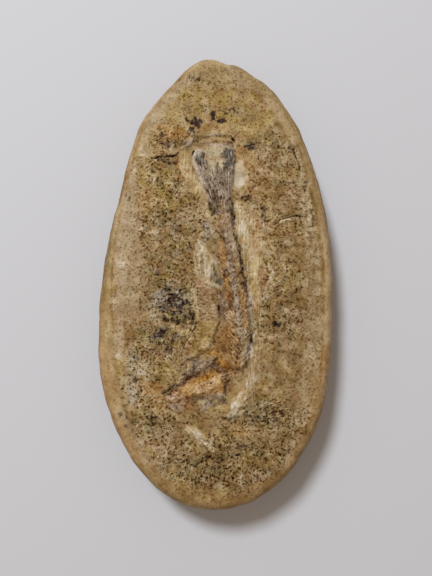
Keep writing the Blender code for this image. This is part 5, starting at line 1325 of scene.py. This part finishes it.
def layUv(mesh, points, corners, starts, front):    # face and back side by side, the steep edge spread out
    x, y = points[:, 0], points[:, 1]
    reachX, reachY = sheet["reach"]
    spread = 1 + sheet["spread"] * smoothStep(0.8, 1.0, np.hypot(x / reachX, y / reachY))
    u, v = (x * spread + sheet["middle"][0])[corners], (y * spread + sheet["middle"][1])[corners]
    counts = np.diff(np.append(starts, len(corners)))
    onBack = np.repeat(np.logical_or.reduceat(corners >= front, starts), counts)
    u = np.where(onBack, sheet["side"] - u, u)
    layer = mesh.uv_layers.new(name="OFBake")
    layer.data.foreach_set("uv", (np.stack([u, v], axis=1) / sheet["side"]).astype(np.float32).ravel())


def addNode(tree, kind, sockets=None, **settings):      # a node, its inputs linked or given a value
    node = tree.nodes.new(kind)
    for name, value in settings.items():
        setattr(node, name, value)
    for name, value in (sockets or {}).items():
        if isinstance(value, bpy.types.NodeSocket):
            tree.links.new(value, node.inputs[name])
        else:
            node.inputs[name].default_value = value
    return node


def calc(tree, operation, a, b=0.0, c=0.0):     # sum, product or other result of up to three values
    return addNode(tree, "ShaderNodeMath", {0: a, 1: b, 2: c}, operation=operation).outputs[0]


def between(tree, value, low, high, toLow=0.0, toHigh=1.0):     # one range carried to another, its ends held
    sockets = {"Value": value, "From Min": low, "From Max": high, "To Min": toLow, "To Max": toHigh}
    return addNode(tree, "ShaderNodeMapRange", sockets).outputs[0]


def mixColour(tree, share, below, above):       # a share of the upper colour over the lower one
    return addNode(tree, "ShaderNodeMix", {0: share, 6: below, 7: above}, data_type="RGBA").outputs[2]


# a node group: its inputs by name, each a kind and a value, and its output's name and kind
def newGroup(name, inputs, output):
    group = bpy.data.node_groups.new(name, "ShaderNodeTree")
    for label, (kind, value) in inputs.items():
        socket = group.interface.new_socket(label, in_out="INPUT", socket_type="NodeSocket" + kind)
        if value is not None:
            socket.default_value = value
    label, kind = output
    group.interface.new_socket(label, in_out="OUTPUT", socket_type="NodeSocket" + kind)
    made = group.nodes.new("NodeGroupOutput").inputs[label]
    return group, group.nodes.new("NodeGroupInput").outputs, made


def useGroup(tree, group, sockets):     # the result of a node group, given its inputs
    return addNode(tree, "ShaderNodeGroup", sockets, node_tree=group).outputs[0]


# grains: layered noise spread over the whole range 0 to 1, in cells of a size in millimetres
grains, given, result = newGroup("grains", {
    "Place": ("Vector", None), "Size": ("Float", 1.0), "Detail": ("Float", 2.0), "Rough": ("Float", 0.6),
    "Bend": ("Float", 0.0)}, ("Value", "Float"))
grainNoise = addNode(grains, "ShaderNodeTexNoise", {
    "Vector": given["Place"], "Scale": calc(grains, "DIVIDE", 1.0, given["Size"]), "Detail": given["Detail"],
    "Roughness": given["Rough"], "Distortion": given["Bend"]})
grains.links.new(between(grains, grainNoise.outputs["Fac"], 0.3, 0.7), result)

# stain: a colour laid over another where its mask is stronger than the grain
stain, given, result = newGroup("stain", {
    "Below": ("Color", None), "Tint": ("Color", None), "Mask": ("Float", 0.0), "Grain": ("Float", 0.5),
    "Ragged": ("Float", 0.6)}, ("Colour", "Color"))
above = calc(stain, "SUBTRACT", given["Mask"], calc(stain, "MULTIPLY", given["Grain"], given["Ragged"]))
cover = calc(stain, "DIVIDE", above, calc(stain, "SUBTRACT", 1.0, given["Ragged"]))
cover = addNode(stain, "ShaderNodeClamp", {"Value": cover}).outputs[0]
stain.links.new(mixColour(stain, cover, given["Below"], given["Tint"]), result)

stoneLook = {
    "ground": asSeen(158, 130, 87),
    # slow drifts of tint over the ground: colour, size in millimetres, the noise levels where it starts and
    # is full, strength
    "drifts": {
        "ochre": (asSeen(168, 142, 80), 2.2, 0.45, 1.0, 0.7),
        "pinkish": (asSeen(180, 156, 122), 3.4, 0.5, 1.05, 0.8),
        "brownish": (asSeen(130, 103, 62), 3.0, 0.4, 1.1, 0.7),
        "greyish": (asSeen(126, 111, 74), 2.0, 0.55, 1.1, 0.65),
        "reddish": (asSeen(156, 120, 84), 1.8, 0.55, 1.0, 0.6),
    },
    "driftApart": 31.0,         # how far apart in the noise the drifts are taken
    "zoneLift": 0.55,           # how much a zone mark raises the level
    "rimTan": asSeen(163, 136, 92),
    "rimCover": (0.45, 0.85),   # least and most of the tan over the smooth edge
    "ink": asSeen(50, 35, 16),
    "filmRagged": 0.3,
    "inkRagged": 0.55,
    "filmGrain": 0.5,           # sizes in millimetres, from here to the pits
    "inkGrain": 0.45,
    "rimGrain": 1.5,
    "cloudSize": 2.8,
    "grainSize": 0.95,
    "pitSize": 0.5,
    "pitLevels": (0.62, 0.92),  # noise levels where a pit starts and is deepest
    # darkening by each: as a power laid on the colour
    "cloudDepth": 0.34,
    "grainDepth": 0.62,
    "pitDepth": 0.95,
    # painted shade: darkening in the groove and at the widest level
    "grooveDepth": 0.7,
    "edgeShadeDepth": 0.5,
    "strandDepth": -0.8,
    "ribDepth": 0.75,
    "lightDepth": -0.14,
    "shadeDepth": 0.14,
    "leastGrain": 0.62,         # strength of grains and pits away from the pepper marks, and what those add
    "pepperGrain": 0.9,
    "rimCalm": 0.48,            # share of the grain that the smooth edge and the calm marks take away
    "markCalm": 0.5,
    "fibres": (13.0, 0.6),      # fibres of the head: noise cells in half a body's width, and in a millimetre
    "ribSlant": 4.4,            # millimetres that a rib falls back over half the body's width
    "ribs": (1.9, 0.9),         # noise cells in a millimetre, square to the ribs and along the fish
    # height by each, as shares of the bump's depth
    "pitCut": 0.6,
    "strandRise": 0.35,
    "ribCut": -0.4,
    "streakCut": -0.4,
    "bumpDepth": 0.00022,
    "bumpStrength": 0.8,
    "roughness": (0.72, 0.95),
    "calmShine": 0.7,
    "specular": 0.12,
}


def stoneMaterial():                    # tints laid over the ground, then grain, then height and shine
    material = bpy.data.materials.new("fossilLimestone")
    material.use_nodes = True
    tree = material.node_tree
    shader = tree.nodes["Principled BSDF"]
    inMetres = addNode(tree, "ShaderNodeTexCoord").outputs["Object"]
    toMillimetres = {0: inMetres, 1: (1000.0, 1000.0, 1000.0)}
    place = addNode(tree, "ShaderNodeVectorMath", toMillimetres, operation="MULTIPLY").outputs[0]
    look = stoneLook
    made = {}

    def mask(name):                     # values kept at the mesh's points
        if name not in made:
            made[name] = addNode(tree, "ShaderNodeAttribute", attribute_name=name).outputs["Fac"]
        return made[name]

    def noise(size, detail=2.0, rough=0.6, bend=0.0, shift=0.0, where=place):   # grains at a shifted place
        apart = {0: where, 1: (shift, shift, shift)}
        moved = addNode(tree, "ShaderNodeVectorMath", apart, operation="ADD").outputs[0]
        sockets = {"Place": moved, "Size": size, "Detail": detail, "Rough": rough, "Bend": bend}
        return useGroup(tree, grains, sockets)

    def times(a, b):                    # two values multiplied
        return calc(tree, "MULTIPLY", a, b)

    def plus(total, value, share):      # a share of a value added to a total
        return calc(tree, "MULTIPLY_ADD", value, share, total)

    def evened(level):                  # noise from -0.5 to 0.5
        return calc(tree, "SUBTRACT", level, 0.5)

    def onPlane(x, y):                  # a place for the noise from two values
        return addNode(tree, "ShaderNodeCombineXYZ", {"X": x, "Y": y}).outputs[0]

    # the ground and its drifts of tint, which the zone masks help along
    colour = look["ground"]
    for number, (name, (tint, size, start, full, strength)) in enumerate(look["drifts"].items()):
        level = noise(size, detail=1.0, rough=0.5, bend=0.3, shift=look["driftApart"] * (number + 1))
        if name in zones:
            level = plus(level, mask(name), look["zoneLift"])
        share = between(tree, level, start, full, 0.0, strength)
        colour = mixColour(tree, share, colour, tint)
    rim = mask("rim")
    rimCover = between(tree, noise(look["rimGrain"], bend=0.4, shift=13.0), 0.1, 0.9, *look["rimCover"])
    colour = mixColour(tree, times(rim, rimCover), colour, look["rimTan"])
    filmColour = addNode(tree, "ShaderNodeAttribute", attribute_name="filmColour").outputs["Vector"]
    colour = useGroup(tree, stain, {
        "Below": colour, "Tint": filmColour, "Mask": mask("filmCover"), "Grain": noise(look["filmGrain"]),
        "Ragged": look["filmRagged"]})
    colour = useGroup(tree, stain, {
        "Below": colour, "Tint": look["ink"], "Mask": mask("ink"),
        "Grain": noise(look["inkGrain"], shift=5.0), "Ragged": look["inkRagged"]})

    # fibres of the head run along the fish, and the ribs slant back from the backbone
    along, across = mask("fishAlong"), mask("fishAcross")
    fibresAcross, fibresAlong = look["fibres"]
    fibres = noise(1.0, where=onPlane(times(across, fibresAcross), times(along, fibresAlong)))
    strand = times(between(tree, fibres, 0.1, 0.9, -0.5, 0.5), mask("onHead"))
    chevron = plus(along, calc(tree, "ABSOLUTE", across), look["ribSlant"])
    ribsAcross, ribsAlong = look["ribs"]
    ribPlace = onPlane(times(chevron, ribsAcross), times(along, ribsAlong))
    ribs = noise(1.0, detail=1.5, shift=9.0, where=ribPlace)
    rib = times(evened(ribs), mask("onBody"))

    streaky = 0.0
    for name, streak in streaks.items():
        turned = addNode(tree, "ShaderNodeMapping", {
            "Vector": place, "Rotation": (0.0, 0.0, math.radians(streak["turn"])),
            "Scale": (streak["long"], streak["short"], 1.0)}, vector_type="TEXTURE").outputs[0]
        streaky = plus(streaky, evened(noise(1.0, where=turned)), times(mask(name), streak["depth"]))

    # light and dark grain over everything: a power above 1 darkens a colour and keeps its warmth
    calmed = calc(tree, "MAXIMUM", times(rim, look["rimCalm"]), times(mask("calm"), look["markCalm"]))
    grainy = plus(look["leastGrain"], mask("pepper"), look["pepperGrain"])
    rough = times(grainy, calc(tree, "SUBTRACT", 1.0, calmed))
    clouds = noise(look["cloudSize"], detail=1.0, rough=0.8, shift=7.0)
    grain = noise(look["grainSize"], detail=2.5, rough=0.85, bend=0.6)
    pits = between(tree, noise(look["pitSize"], detail=1.5, bend=0.5, shift=3.0), *look["pitLevels"])
    power = times(calc(tree, "SUBTRACT", 0.5, grain), times(rough, look["grainDepth"]))
    power = plus(power, calc(tree, "SUBTRACT", 0.5, clouds), look["cloudDepth"])
    power = plus(power, pits, times(rough, look["pitDepth"]))
    # painted shade in the groove inside the smooth edge and at the widest level
    power = plus(power, mask("paintedGrooveShade"), look["grooveDepth"])
    power = plus(power, mask("widestLineShade"), look["edgeShadeDepth"])
    power = plus(power, strand, look["strandDepth"])
    power = plus(power, rib, look["ribDepth"])
    power = calc(tree, "ADD", power, streaky)
    power = plus(power, mask("light"), look["lightDepth"])
    power = plus(power, mask("shade"), look["shadeDepth"])
    power = calc(tree, "ADD", power, 1.0)
    colour = addNode(tree, "ShaderNodeGamma", {"Color": colour, "Gamma": power}).outputs[0]

    # height for the bump: grains stand up, pits and ribs are cut in
    height = times(evened(grain), rough)
    height = calc(tree, "SUBTRACT", height, times(pits, times(rough, look["pitCut"])))
    height = plus(height, strand, look["strandRise"])
    height = plus(height, rib, look["ribCut"])
    height = plus(height, streaky, look["streakCut"])
    bump = addNode(tree, "ShaderNodeBump", {
        "Height": height, "Distance": look["bumpDepth"], "Strength": look["bumpStrength"]})

    smoothest, roughest = look["roughness"]
    shine = calc(tree, "MAXIMUM", times(mask("calm"), look["calmShine"]), rim)
    tree.links.new(colour, shader.inputs["Base Color"])
    tree.links.new(between(tree, shine, 0.0, 1.0, roughest, smoothest), shader.inputs["Roughness"])
    tree.links.new(bump.outputs["Normal"], shader.inputs["Normal"])
    shader.inputs["Specular IOR Level"].default_value = look["specular"]
    return material


stone = bpy.data.objects.new("fossilStone", stoneMesh())
bpy.context.scene.collection.objects.link(stone)
stone.data.materials.append(stoneMaterial())
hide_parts("fossil_slab")
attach(stone, "root")
print("stone made:", len(stone.data.polygons), "faces")


# plain pale floor
floorLook = {"size": 1.6, "colour": (0.53, 0.535, 0.545, 1.0), "roughness": 0.9, "specular": 0.1}
half = floorLook["size"] / 2
floorMesh = bpy.data.meshes.new("floor")
floorCorners = [(-half, -half, 0), (half, -half, 0), (half, half, 0), (-half, half, 0)]
floorMesh.from_pydata(floorCorners, [], [(0, 1, 2, 3)])
floor = bpy.data.objects.new("floor", floorMesh)
bpy.context.scene.collection.objects.link(floor)
floorMaterial = bpy.data.materials.new("paleFloor")
floorMaterial.use_nodes = True
floorShader = floorMaterial.node_tree.nodes["Principled BSDF"]
floorShader.inputs["Base Color"].default_value = floorLook["colour"]
floorShader.inputs["Roughness"].default_value = floorLook["roughness"]
floorShader.inputs["Specular IOR Level"].default_value = floorLook["specular"]
floorMesh.materials.append(floorMaterial)

# soft window light from the upper left, and the room's fill
studio = {
    "from": (-0.53, 0.85),      # the way to the window, seen from above
    "rise": 54.5,               # its height above the floor in degrees
    "distance": 0.8,
    "size": 0.18,
    "power": 6.1,
    "windowTint": (0.905, 0.95, 1.02),
    "fill": 0.41,
    "fillTint": (1.0, 0.83, 0.7, 1.0),
}
riseAngle = math.radians(studio["rise"])
fromX, fromY = studio["from"]
level = studio["distance"] * math.cos(riseAngle) / math.hypot(fromX, fromY)
windowLight = bpy.data.lights.new("window", "AREA")
windowLight.shape = "DISK"
windowLight.size = studio["size"]
windowLight.energy = studio["power"]
windowLight.color = studio["windowTint"]
window = bpy.data.objects.new("window", windowLight)
bpy.context.scene.collection.objects.link(window)
window.location = (fromX * level, fromY * level, studio["distance"] * math.sin(riseAngle))
window.rotation_euler = (riseAngle - math.pi / 2, 0.0, math.atan2(-fromX, fromY))
world = bpy.data.worlds.new("room")
world.use_nodes = True
world.node_tree.nodes["Background"].inputs["Color"].default_value = studio["fillTint"]
world.node_tree.nodes["Background"].inputs["Strength"].default_value = studio["fill"]
bpy.context.scene.world = world
bpy.context.scene.view_settings.view_transform = "Standard"

# camera looking down on the stone, leaned back a little from its tail end
view = {
    "lens": 35.0, "sensor": 36.0, "nearest": 5.0,
    "target": (0.0, -2.3, 6.0), "distance": 119.0, "lean": 6.39,    # millimetres and degrees
}
lean = math.radians(view["lean"])
targetX, targetY, targetZ = view["target"]
cameraData = bpy.data.cameras.new("camera")
cameraData.lens = view["lens"]
cameraData.sensor_width = view["sensor"]
cameraData.clip_start = view["nearest"] * mm
camera = bpy.data.objects.new("camera", cameraData)
bpy.context.scene.collection.objects.link(camera)
camera.location = (
    targetX * mm,
    (targetY - view["distance"] * math.sin(lean)) * mm,
    (targetZ + view["distance"] * math.cos(lean)) * mm)
camera.rotation_euler = (lean, 0.0, 0.0)
bpy.context.scene.camera = camera
print("stage set")
